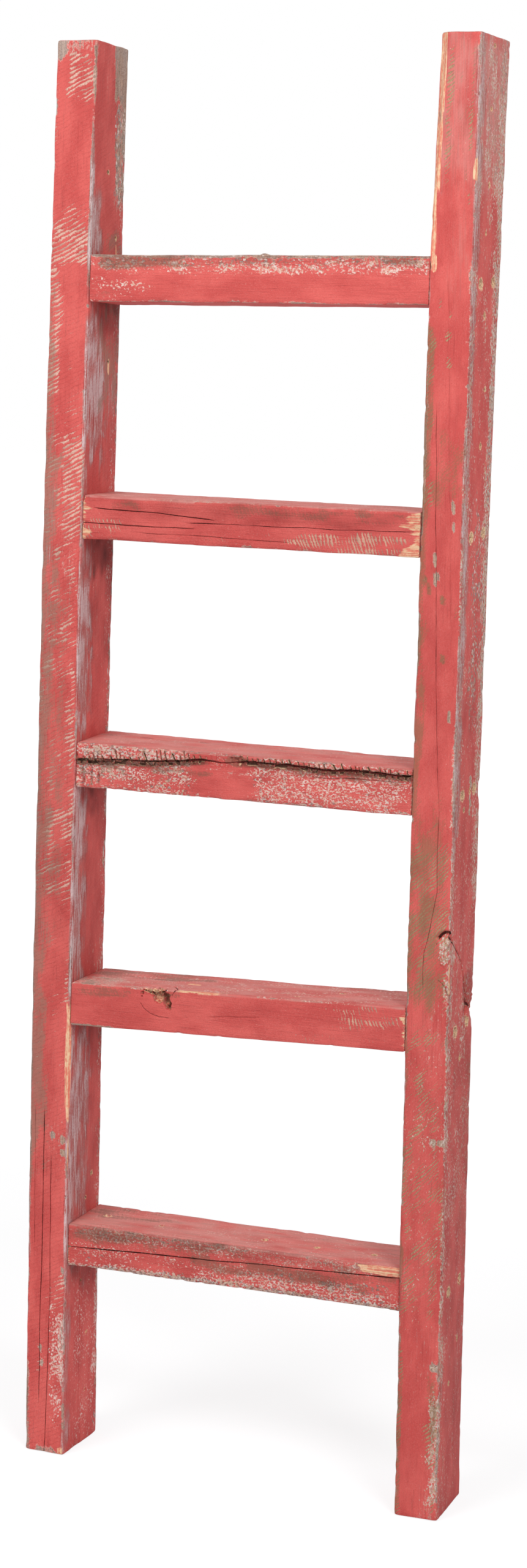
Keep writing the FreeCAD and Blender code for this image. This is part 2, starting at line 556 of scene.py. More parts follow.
def pit_cutter(board, face, along, across, radius, depth):
    """A ragged plug with the shape of one torn pit in a face beside the front, wider at its mouth."""
    axis = board.width_axis
    at_low_face = face in ("left", "bottom")
    sign = 1 if at_low_face else -1
    where = [0.0, across, 0.0]
    where[board.length_axis] = along
    where[axis] = 0.0 if at_low_face else board.width
    middle = [board.low[i] + where[i] * MM for i in range(3)]
    middle[axis] += sign * (depth - CUTTER_ABOVE) / 2 * MM
    turn = (0, math.pi / 2, 0) if axis == 0 else (0, 0, 0)
    bpy.ops.object.select_all(action="DESELECT")
    bpy.ops.mesh.primitive_cylinder_add(
        vertices=16, radius=radius * MM, depth=(depth + CUTTER_ABOVE) * MM,
        location=middle, rotation=turn,
    )
    cutter = bpy.context.object
    set_in_place()
    places = corner_places(cutter)
    centre = np.array(middle)
    outward = places - centre
    inner = outward[:, axis] * sign > 0
    outward[:, axis] = 0
    angle = np.arctan2(outward[:, (axis + 1) % 3], outward[:, (axis + 2) % 3])
    ragged = 1 + 0.16 * hills(angle * 1.9 + 9, angle * 0, int(along * 7 + across) % 97)
    ragged = ragged * np.where(inner, 0.86, 1.06)
    places = places + outward * (ragged - 1)[:, None]
    cutter.data.vertices.foreach_set("co", places.ravel())
    cutter.data.update()
    return cutter


def settle(piece):
    """Bows and twists a straight piece as the dried rails are, so that all of it stays in contact."""
    places = corner_places(piece) / MM
    height = np.clip(places[:, 2] / LADDER_HEIGHT, 0, 1)
    share = np.clip((places[:, 0] + RUNG_LENGTH / 2) / RUNG_LENGTH, 0, 1)
    left = LEFT_TWIST[0] + (LEFT_TWIST[1] - LEFT_TWIST[0]) * height
    right = RIGHT_TWIST[0] + (RIGHT_TWIST[1] - RIGHT_TWIST[0]) * height
    twist = left * (1 - share) + right * share
    axis = -RAIL_MIDDLE * (1 - share) + RAIL_MIDDLE * share
    bow = -RAIL_BOW * 4 * height * (1 - height)
    press(piece, bow - twist * places[:, 1], "X")
    press(piece, twist * (places[:, 0] - axis), "Y")


# ---------------------------------------------------------------- finishes


def colour(red, green, blue):
    """A colour as it is seen on a screen, from 0 to 255, made linear."""
    shares = [value / 255 for value in (red, green, blue)]
    linear = [share / 12.92 if share <= 0.04045 else ((share + 0.055) / 1.055) ** 2.4 for share in shares]
    return (*linear, 1.0)


def math_node(operation, flipped=False):
    """A method of a link that puts a Math node on it and another value."""

    def method(self, other=0.0):
        """The result of the node."""
        first, second = (other, self) if flipped else (self, other)
        return self.finish.node("ShaderNodeMath", {"operation": operation}, {0: first, 1: second})

    return method


class Link:
    """A shader socket that can be added, multiplied and so on, each time with a Math node."""

    def __init__(self, finish, socket):
        self.finish = finish
        self.socket = socket

    __add__ = math_node("ADD")
    __radd__ = math_node("ADD", True)
    __sub__ = math_node("SUBTRACT")
    __rsub__ = math_node("SUBTRACT", True)
    __mul__ = math_node("MULTIPLY")
    __rmul__ = math_node("MULTIPLY", True)
    power = math_node("POWER")
    at_least = math_node("MAXIMUM")
    size = math_node("ABSOLUTE")
    wave = math_node("SINE")
    fraction = math_node("FRACT")


class Finish:
    """A material, or the room's light, while its nodes are laid out."""

    def __init__(self, holder):
        self.holder = holder
        holder.use_nodes = True
        self.tree = holder.node_tree
        self.tree.nodes.clear()

    def node(self, kind, settings, sockets, output=0):
        """Adds a node with its settings first and then its values and links."""
        made = self.tree.nodes.new(kind)
        for name, value in settings.items():
            setattr(made, name, value)
        for name, value in sockets.items():
            if isinstance(value, Link):
                self.tree.links.new(value.socket, made.inputs[name])
            else:
                made.inputs[name].default_value = value
        return Link(self, made.outputs[output]) if made.outputs else None

    def parts(self, vector):
        """The three numbers of a vector."""
        made = self.tree.nodes.new("ShaderNodeSeparateXYZ")
        self.tree.links.new(vector.socket, made.inputs[0])
        return [Link(self, made.outputs[index]) for index in range(3)]

    def place(self):
        """Where a point of the mesh is, in millimetres."""
        found = self.node("ShaderNodeTexCoord", {}, {}, "Object")
        return [part * (1.0 / MM) for part in self.parts(found)]

    def point(self, x, y, z):
        """A vector of three numbers."""
        return self.node("ShaderNodeCombineXYZ", {}, {0: x, 1: y, 2: z})

    def ramp(self, value, low, high, start=0.0, stop=1.0):
        """Goes softly from start to stop as the value goes from low to high."""
        sockets = {0: value, 1: low, 2: high, 3: start, 4: stop}
        return self.node("ShaderNodeMapRange", {"interpolation_type": "SMOOTHSTEP"}, sockets)

    def mix(self, share, first, second, blend="MIX"):
        """One colour over another."""
        sockets = {0: share, 6: first, 7: second}
        return self.node("ShaderNodeMix", {"data_type": "RGBA", "blend_type": blend}, sockets, 2)

    def layers(self, look, *coats):
        """Lays coats over a colour. A coat says how much of it shows, its colour and its blend."""
        for share, coat, *blend in coats:
            look = self.mix(share, look, coat, *blend)
        return look

    def surface(self, sockets):
        """Ends a material with its one shader."""
        shader = self.node("ShaderNodeBsdfPrincipled", {}, sockets)
        self.node("ShaderNodeOutputMaterial", {}, {"Surface": shader})
        return self.holder

    def cloud(self, place, detail=3.0, rough=0.5, spread=2.2):
        """Soft noise from about 0 to 1."""
        sockets = {"Vector": place, "Scale": 1.0, "Detail": detail, "Roughness": rough}
        noise = self.node("ShaderNodeTexNoise", {"noise_dimensions": "3D"}, sockets)
        return (noise - 0.5) * spread + 0.5

    def worn(self, level, pattern, edge=0.07):
        """1 where a level of wear from 0 to 1 has reached the pattern."""
        return self.ramp(level * 1.16 - 0.08 - pattern, -edge, edge)


# Colours of the paint and the wood, set so that the picture looks as the photograph does
PAINT = colour(203, 83, 79)
PAINT_LIGHT = colour(222, 101, 95)
PAINT_DARK_AND_SHADE = colour(158, 56, 54)
PAINT_CHALKED = colour(216, 146, 138)
WOOD_TAN = colour(206, 172, 148)
WOOD_BROWN = colour(150, 120, 106)
WOOD_GREY = colour(172, 156, 150)
WOOD_DARK = colour(104, 80, 72)
STROKE_TAN = colour(230, 192, 178)
STROKE_PINK = colour(218, 172, 150)
KHAKI_LIGHT = colour(186, 158, 126)
KHAKI = colour(152, 126, 92)
KHAKI_DIRT = colour(142, 108, 80)
RUNG_DIRT = colour(136, 94, 78)
CURL_PINK = colour(236, 206, 192)
PALE_RIM = colour(230, 196, 182)
PALE_CHIP = colour(234, 216, 208)
GREY_VEIL = colour(172, 142, 138)
GREY_LINE = colour(216, 196, 196)
GREY_BROWN = colour(150, 120, 104)
RAW_CREAM = colour(246, 208, 168)
RAW_ORANGE = colour(236, 134, 112)
# The next colour darkens for grime and for painted shade; the last is painted shade in splits and pits
GRIME_AND_SHADE = colour(96, 66, 56)
SPLIT_SHADE = colour(62, 28, 24)


def painted_wood(name, grain, slope, pitch, scoring, cell_size, tones, curls=0.0, fan=3.0):
    """Red paint on rough sawn wood, worn where the marks on the mesh say.

    Grain is the axis along the board. Slope is how far the saw's marks climb along the grain for
    each step across it, pitch is how far apart they lie in millimetres, fan is how far they
    spread in millimetres, and scoring is how plain they are, in their relief and in the painted
    shadow line just past each ridge. Cell size is the size of the flakes of paint that come off,
    in millimetres, and curls is how much the loose paint has curled, from 0 to 1. Tones are the
    colours of torn wood in a paler and a deeper tone mixed at random, of soiling and of chips. The
    dark mark lays grime and painted shade, and splits and pits are darkened with painted shade.
    """
    torn_pale, torn_deep, dirt_tone, chip_tone = tones
    row_share = 0.26 if grain == "X" else 0.08
    finish = Finish(bpy.data.materials.new(name))
    mix, ramp, worn, layers = finish.mix, finish.ramp, finish.worn, finish.layers
    x, y, z = finish.place()
    along, side = (z, x) if grain == "Z" else (x, z)
    across = side + y
    marks = {}
    for layer, names in CHANNELS.items():
        vector = finish.node("ShaderNodeAttribute", {"attribute_name": layer}, {}, "Vector")
        marks.update(zip(names, finish.parts(vector)))

    def noise(wide, long, detail, rough, spread, aside=None):
        """Noise with one scale for both ways across the grain and another along it."""
        start = side * wide if aside is None else side * wide + aside
        return finish.cloud(finish.point(start, y * wide, along * long), detail, rough, spread)

    # Patterns: fibres and hairs along the grain, flakes, broad mottling and a fine tooth
    fibre = noise(0.75, 0.03, 4.0, 0.6, 2.3)
    hair = noise(1.25, 0.035, 3.0, 0.6, 2.4)
    flakes = noise(0.42, 0.24, 6.0, 0.7, 2.4)
    crumbs = noise(0.95, 0.7, 3.0, 0.66, 2.4)
    chips = noise(0.62, 0.42, 3.0, 0.65, 2.5, 40.0)
    mottle = noise(0.05, 0.022, 4.0, 0.55, 2.4)
    tooth = noise(2.1, 1.1, 2.0, 0.6, 2.4)

    # The saw's marks: ridges that climb across the grain, with teeth of torn paint under each and a
    # painted shadow line just past each ridge
    climb = along - across * slope + mottle * fan
    clump = finish.cloud(finish.point(climb * 0.11, across * 0.045, 5.0), 2.0, 0.5, 2.4)
    streak = finish.cloud(finish.point(climb * 0.42, across * 0.09, 9.0), 3.0, 0.65, 2.6)
    ridge = climb * (1.0 / pitch) + clump * 0.8 + streak * 0.3 + (flakes - 0.5) * 0.25
    ridge = ridge.fraction()
    rows = noise(0.24, 0.012, 2.0, 0.6, 2.4)
    teeth = (1.0 - ridge) * 0.38 + rows * row_share + crumbs * 0.14 + streak * 0.22
    teeth = teeth + clump * (0.28 - row_share)
    scored = ramp(ridge, 0.0, 0.14, 1.0, 0.0) * ramp(crumbs + streak * 0.6, 0.5, 1.1)

    # Cells of loose paint, each with a chance and a tone of its own
    ragged = finish.point(
        side * (1.0 / cell_size) + crumbs * 0.55,
        y * (1.0 / cell_size) + chips * 0.55,
        along * (0.66 / cell_size) + flakes * 0.9,
    )
    sockets = {"Vector": ragged, "Scale": 1.0}
    cells = finish.node("ShaderNodeTexVoronoi", {"feature": "F1"}, sockets, "Color")
    chance, tone, darkness = finish.parts(cells)
    loose = chance * 0.62 + crumbs * 0.2 + flakes * 0.18

    # Masks, each 1 where that kind of wear shows; split and pit are where painted shade goes into
    # splits and pits
    brittle = flakes * 0.5 + fibre * 0.3 + crumbs * 0.2
    bare = worn(marks["bare"], brittle)
    bare_rim = worn(marks["bare"] + 0.1, brittle) - bare
    strokes = worn(marks["strokes"] * 0.49, teeth, 0.06)
    veil = worn(marks["grey"], hair * 0.4 + fibre * 0.35 + flakes * 0.25, 0.2)
    lines = worn(marks["grey"] * 0.6, hair * 0.6 + flakes * 0.2 + crumbs * 0.2, 0.08)
    stain = worn(marks["stain"] * 0.86, teeth * 0.4 + crumbs * 0.3 + fibre * 0.3, 0.17)
    chalk = ramp(marks["faded"] + (mottle - 0.5) * 0.3 + (fibre - 0.5) * 0.5, 0.1, 1.2)
    flaked = worn(marks["flake"] * 0.72, loose, 0.06)
    swirl = noise(0.36, 0.3, 2.0, 0.5, 2.4)
    curled = (swirl - 0.5).size() * (1.3 * curls) + (chips * 0.8 + tooth * 0.2) * (1.0 - 0.2 * curls)
    specks = worn(marks["speckle"] * 0.52, curled, 0.07)
    pores = worn(marks["flake"] * 0.34 + marks["speckle"] * 0.08, 1.0 - chips * 0.6 - crumbs * 0.4, 0.08)
    raw = ramp(marks["raw"] + (fibre - 0.5) * 0.35 + (hair - 0.5) * 0.2, 0.42, 0.56)
    gape = marks["gape"] - marks["near"] * NEAR_REACH + (crumbs - 0.5) * 0.2
    split = ramp(gape, -0.14, 0.1) * ramp(marks["gape"], 0.0, 0.16)
    torn = ramp(marks["pit"] + (crumbs - 0.5) * 0.5 + (fibre - 0.5) * 0.2, 0.42, 0.56)
    pit = ramp(marks["pit"], 0.86, 0.98)

    # Colours, from the paint outwards
    red = layers(
        mix(ramp(mottle, 0.1, 0.9), PAINT, PAINT_LIGHT),
        (ramp(fibre, 0.62, 1.05, 0.0, 0.45), PAINT_DARK_AND_SHADE),
        (ramp(hair, 0.7, 1.1, 0.0, 0.35), PAINT_LIGHT),
        (ramp(tooth, 0.6, 1.1, 0.0, 0.5), PAINT_DARK_AND_SHADE),
        (ramp(tooth, 0.4, -0.1, 0.0, 0.4), PAINT_CHALKED),
        (chalk * 0.85, PAINT_CHALKED),
        (ramp(hair, 0.45, 0.95) * marks["faded"] * 0.6, WOOD_BROWN),
    )
    wood = layers(
        mix(ramp(fibre, 0.1, 0.9), WOOD_BROWN, WOOD_TAN),
        (ramp(mottle, 0.3, 0.9, 0.0, 0.6), WOOD_GREY),
        (ramp(crumbs, 0.5, 0.95, 0.0, 0.6), WOOD_DARK),
        (ramp(tooth, 0.4, 0.0, 0.0, 0.6), PALE_CHIP),
    )
    cell = layers(
        mix(ramp(tone, 0.35, 0.5), WOOD_GREY, WOOD_TAN),
        (ramp(tone, 0.66, 0.76), chip_tone),
        (ramp(darkness, 0.72, 0.84, 0.0, 0.8), WOOD_BROWN),
        (ramp(crumbs, 0.55, 0.95, 0.0, 0.7), WOOD_DARK),
    )
    torn_wood = layers(
        mix(ramp(crumbs, 0.3, 0.8), torn_pale, torn_deep),
        (ramp(clump, 0.4, 0.9, 0.0, 0.6), WOOD_BROWN),
    )
    furrows = ramp(hair * 0.8 + crumbs * 0.2 + fibre * 0.3, 0.62, 0.95) * ramp(marks["grey"], 0.1, 0.6)
    look = layers(
        red,
        (bare_rim * 0.75, PALE_RIM),
        (bare, wood),
        # A painted shadow line just past each saw ridge, in the dark paint colour
        (scored * ramp(marks["strokes"], 0.1, 0.9, 0.0, scoring), PAINT_DARK_AND_SHADE),
        (strokes * 0.88, torn_wood),
        (flaked * 0.92, cell),
        (specks * 0.92, mix(tone, PALE_CHIP, torn_pale)),
        (pores * 0.5, GRIME_AND_SHADE),
        (veil * 0.55, GREY_VEIL),
        (lines * 0.75, GREY_LINE),
        (furrows * 0.7, PAINT_DARK_AND_SHADE),
        (stain * 0.62, dirt_tone),
        (raw, mix(ramp(fibre * 0.6 + flakes * 0.4, 0.34, 0.66), RAW_ORANGE, RAW_CREAM)),
        (torn, mix(ramp(crumbs, 0.1, 0.6), WOOD_BROWN, RAW_CREAM)),
        # Grime and painted shade, multiplied in where the dark mark says
        (marks["dark"] * 0.8, GRIME_AND_SHADE, "MULTIPLY"),
        # Painted shade inside pits and splits
        (pit * 0.85, SPLIT_SHADE),
        (split * 0.85, SPLIT_SHADE),
    )

    # Sawn ends show the growth rings, round a pith in front of the board and to one side
    facing = finish.parts(finish.node("ShaderNodeNewGeometry", {}, {}, "Normal"))
    end = ramp(facing[2 if grain == "Z" else 0].size(), 0.8, 0.95)
    ring_side = side + (23.0 if grain == "Z" else -700.0) + (mottle - 0.5) * 9.0
    ring_deep = y + 58.0
    from_pith = (ring_side * ring_side + ring_deep * ring_deep).power(0.5)
    rings = (from_pith * 2.0 + crumbs * 0.8).wave() * 0.5 + 0.5
    end_wood = mix(rings, WOOD_BROWN, WOOD_TAN)
    end_paint = worn(0.55, flakes * 0.6 + crumbs * 0.4, 0.1)
    look = mix(end, look, mix(end_paint * 0.85, end_wood, PAINT))

    gone = bare.at_least(strokes).at_least(flaked).at_least(raw)
    height = gone * -0.28 + fibre * 0.25 + hair * 0.14 + crumbs * 0.16 + tooth * 0.08
    height = height + (ridge * 0.3 - scored * 0.2) * scoring + flaked * tone * 0.2
    height = height - split * 1.1 - pit * 0.8 + raw * fibre * 0.5 - flaked * crumbs * 0.3
    bump = finish.node("ShaderNodeBump", {}, {"Strength": 1.0, "Distance": MM, "Height": height})
    rough = 0.62 + gone * 0.28 + (crumbs - 0.5) * 0.1 + veil * 0.1
    sockets = {"Base Color": look, "Roughness": rough, "Normal": bump, "Specular IOR Level": 0.15}
    return finish.surface(sockets)


def screw_steel():
    """Dull zinc steel with a little rust in its recesses."""
    finish = Finish(bpy.data.materials.new("screw_steel"))
    grains = finish.cloud(finish.point(*(part * 1.3 for part in finish.place())), 4.0, 0.6, 2.4)
    rust = finish.worn(0.42, grains, 0.12)
    look = finish.mix(rust, colour(128, 124, 120), colour(112, 70, 46))
    bump = finish.node("ShaderNodeBump", {}, {"Strength": 0.6, "Distance": 0.0002, "Height": grains})
    metal, rough = 1.0 - rust * 0.9, 0.42 + rust * 0.4
    sockets = {"Base Color": look, "Metallic": metal, "Roughness": rough, "Normal": bump}
    return finish.surface(sockets)


# ---------------------------------------------------------------- the rails


# The wedge worn off the right rail's inner front corner: where it starts, how wide and deep it
# is at the rail's head, and how far from the corner it can reach, in millimetres
WORN_CORNER_FOOT = 1029.0
WORN_CORNER_WIDE = 8.0
WORN_CORNER_DEEP = 7.0
WORN_CORNER_REACH = 12.0


def screw_centres(node):
    """The middles of the front and the back screw of a node, in metres."""
    low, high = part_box(node)
    places = node_corners(node)
    for front in (True, False):
        chosen = places[(places[:, 1] < (low[1] + high[1]) / 2) == front]
        yield (chosen.min(axis=0) + chosen.max(axis=0)) / 2


def screw_pits(side):
    """The pits where the screws of all rungs were sunk into the outer face of one rail."""
    pits = []
    for number in RUNG_NUMBERS:
        for centre in screw_centres(f"rung_{number}_screws_{side}"):
            across = centre[1] / MM + STOCK_DEPTH / 2
            pits.append((side, centre[2] / MM, across, SCREW_PIT_RADIUS, SCREW_PIT_DEPTH))
    return pits


def mark_pits(board):
    """Tears the paint round every pit and marks its inside for painted shade."""
    for face, along, across, radius, _ in board.pits:
        on, u, v = board.face(face)
        mouth = 0 if face in ("left", "bottom") else board.width
        deep = np.abs(board.spots[:, board.width_axis] - mouth) < 5
        far = np.hypot(u - along, v - across) / radius
        ragged = 1 + 0.25 * hills(u / 2, v / 2, int(along) % 31)
        patch = np.clip(1.32 - far * ragged / TORN_RIM, 0, 1)
        on = (on | deep) & (far < TORN_RIM * 1.2)
        board.mark("pit", patch, on)


def all_round(board, seed, bare=0.12, strokes=0.3, grey=0.15, speckle=0.1):
    """The light wear that every face of a board has, in drifting patches."""
    for number, name in enumerate(("front", "back") + board.edge_faces()):
        on, u, v = board.face(name)
        sawn = strokes if name in ("front", "back") else strokes * 0.3
        for channel, level in (("bare", bare), ("strokes", sawn), ("grey", grey), ("speckle", speckle)):
            drift = 0.5 + 0.9 * hills(u / 70 + number * 9, v / 26 + len(channel), seed + number)
            board.mark(channel, np.clip(level * drift * 1.4, 0, 1), on)


def wear_left_rail():
    """The rail with the strongest saw marks, a split-out sliver and long cracks at its foot."""
    cracks = (
        Crack("front", [(-5, 18.5), (93, 21.5), (142, 22), (272, 21)], 0.13, 0.8, 0.3, 11),
        Crack("front", [(38, 12.5), (125, 13), (168, 14), (311, 14)], 0.17, 1.0, 0.3, 12),
        Crack("front", [(173, 6.5), (313, 5.5)], 0.08, 0.4, 0.3, 13),
        Crack("right", [(20, 30), (260, 27)], 0.14, 0.5, 0.6, 14),
        Crack("back", [(300, 14), (820, 19)], 0.5, 2.5, 0.8, 15),
        Crack("left", [(560, 30), (1219, 36)], 0.5, 2.5, 0.8, 16),
    )
    nails = [
        ("right", 1111, 32, 1.7, 3), ("right", 1056, 52, 1.9, 4), ("right", 950, 44, 1.5, 3),
        ("right", 238, 49, 2.1, 4), ("right", 219, 38, 1.5, 3), ("right", 97, 43, 1.9, 3),
        ("right", 46, 42, 1.3, 3), ("right", 147, 31, 1.3, 3),
    ]
    rail = Board("rail_left", "Z", cracks, nails + screw_pits("left"))
    rail.weather(101)
    all_round(rail, 111, 0.14, 0.4, 0.15, 0.15)

    # Front: across runs from the left edge
    rail.wear(
        "front",
        strokes=[
            (1164, 1210, 11, 37, 1.1, 5, 3), (1156, 1172, 10, 36, 0.45, 6, 3),
            (1095, 1215, -1, 5, 0.72, 10, 2), (1029, 1084, 0, 37, 1.1, 5, 4),
            (892, 1028, 0, 14, 1.0, 8, 4), (990, 998, 26, 37, 0.8, 4, 3), (905, 985, 16, 30, 0.5, 8, 4),
            (700, 912, 0, 37, 0.82, 8, 4), (790, 884, 16, 37, 1.3, 8, 4), (480, 702, 0, 37, 0.85, 10, 4),
            (500, 690, 26, 37, 1.0, 10, 4), (322, 482, 0, 37, 0.6, 10, 4), (390, 450, 30, 37, 1.0, 8, 2),
            (225, 322, 10, 32, 0.55, 10, 4), (55, 165, 22, 37, 0.85, 12, 3),
            (55, 118, 6, 37, 0.62, 10, 4), (0, 60, 4, 37, 0.42, 10, 4),
        ],
        speckle=[(20, 130, 22, 37, 0.8, 10, 3), (60, 122, 29, 37, 1.1, 8, 1)],
        stain=[
            (240, 1020, -1, 7, 0.85, 14, 4), (250, 900, -1, 15, 0.85, 30, 6),
            (440, 800, 8, 30, 0.55, 30, 6), (-5, 80, -1, 5, 0.8, 12, 1.5),
        ],
        grey=[(440, 900, -1, 12, 0.4)],
        dark=[(210, 800, -1, 26, 0.15, 60, 6), (420, 640, -1, 38, 0.26, 60, 6)],
        bare=[
            (1204, 1225, -1, 9, 1.0, 4, 1), (1207, 1225, 8, 37, 0.4, 4, 1),
            (-5, 80, -1, 3.5, 0.62, 12, 1), (-5, 6, 0, 37, 0.5, 3, 1), (60, 122, 31, 35.5, 0.62, 8, 1),
            (160, 480, -1, 2, 0.6, 20, 1),
        ],
    )
    rail.spot("speckle", "front", (1216, 10), (3, 2.5), 1.0)
    for height, across in ((281, 22), (278, 32), (267, 32), (163, 34), (92, 14), (79, 15)):
        rail.spot("bare", "front", (height, across), (4, 2), 1.0)
    rail.spot("raw", "front", (3, 34), (5, 3), 0.9)

    # The sliver that split off its front right edge
    rail.hollow("front", (345, 37.5), (50, 4.5), 1.8, 0.2)
    rail.wear(
        "front",
        raw=[
            (304, 400, 32.5, 38, 1.0, 14, 1.6), (240, 292, 36, 38, 0.7, 10, 0.6),
            (1202, 1219, 35, 38, 0.6, 4, 0.8),
        ],
    )
    rail.wear("right", raw=[(304, 400, -1, 1.6, 1.0, 14, 0.8)])

    # Inner face: across runs from its front edge
    rail.wear(
        "right",
        grey=[
            (-5, 1095, -1, 12, 0.62, 10, 6), (1088, 1130, -1, 5, 0.8, 12, 3),
            (1036, 1092, -1, 22, 1.0, 10, 8), (860, 1000, -1, 40, 1.0, 30, 10),
            (845, 1000, 30, 70, 0.5, 30, 10), (630, 800, -1, 24, 1.0, 30, 8),
            (400, 600, -1, 24, 1.0, 30, 8), (155, 378, -1, 42, 0.85, 30, 12),
            (1020, 1160, -1, 2.2, 1.0, 10, 0.6),
        ],
        stain=[
            (900, 1000, 18, 70, 0.75, 30, 10), (400, 800, -1, 30, 0.4, 30, 10),
            (1150, 1225, 40, 70, 0.3, 10, 6), (1036, 1062, 30, 70, 0.8, 6, 8),
        ],
        bare=[
            (1172, 1225, 39, 70, 1.0, 5, 1.5), (1085, 1180, 48, 70, 0.75, 12, 4),
            (1020, 1160, -1, 1.6, 0.9, 10, 0.5),
        ],
        flake=[
            (1085, 1180, 45, 70, 0.8, 12, 4), (-5, 1150, 59, 70, 0.62, 14, 4),
            (640, 840, 44, 70, 0.3, 14, 7), (40, 150, 60, 70, 0.6, 14, 3),
        ],
        speckle=[
            (-5, 1150, 53, 70, 0.7, 14, 5), (0, 150, 10, 70, 0.66, 14, 10), (40, 150, 55, 70, 1.1, 14, 5),
        ],
        raw=[(-3, 12, 58, 70, 0.5, 5, 4), (1040, 1052, 50.5, 55, 0.9, 4, 1.5)],
        # The first two dark rows are painted shadow under rung 2; the last darkens the middle of the face
        dark=[
            (764, 804, 16, 70, 0.9, 10, 8), (690, 804, 20, 70, 0.32, 20, 8),
            (220, 580, 16, 70, 0.2, 30, 10),
        ],
    )
    rail.spot("raw", "right", (946, 45), (8, 3), 0.9)
    # Painted shadow on the inner face, strongest just under each rung
    for top, thick in ((1039.5, 40), (836.0, 37), (624.4, 38), (416.6, 37), (204.3, 36)):
        rail.wash("dark", "right", (top - thick - 24, top - thick + 6), (10, 70), 0.55, (10, 8))
        rail.wash("dark", "right", (top - thick - 10, top - thick + 6), (14, 70), 0.95, (7, 8))

    # Outer face and back, which the photograph doesn't show
    rail.wear(
        "left", grey=[(100, 700, -1, 14, 0.6, 60, 8)], strokes=[(200, 1000, 20, 70, 0.75, 80, 14)],
        bare=[(900, 1225, 45, 70, 0.7, 60, 10)],
    )
    rail.wear(
        "back", flake=[(0, 500, 0, 37, 0.45, 80, 6)], grey=[(600, 1225, -1, 20, 0.7, 80, 8)],
        strokes=[(400, 900, 0, 37, 0.7, 80, 6)],
    )
    mark_pits(rail)
    return rail


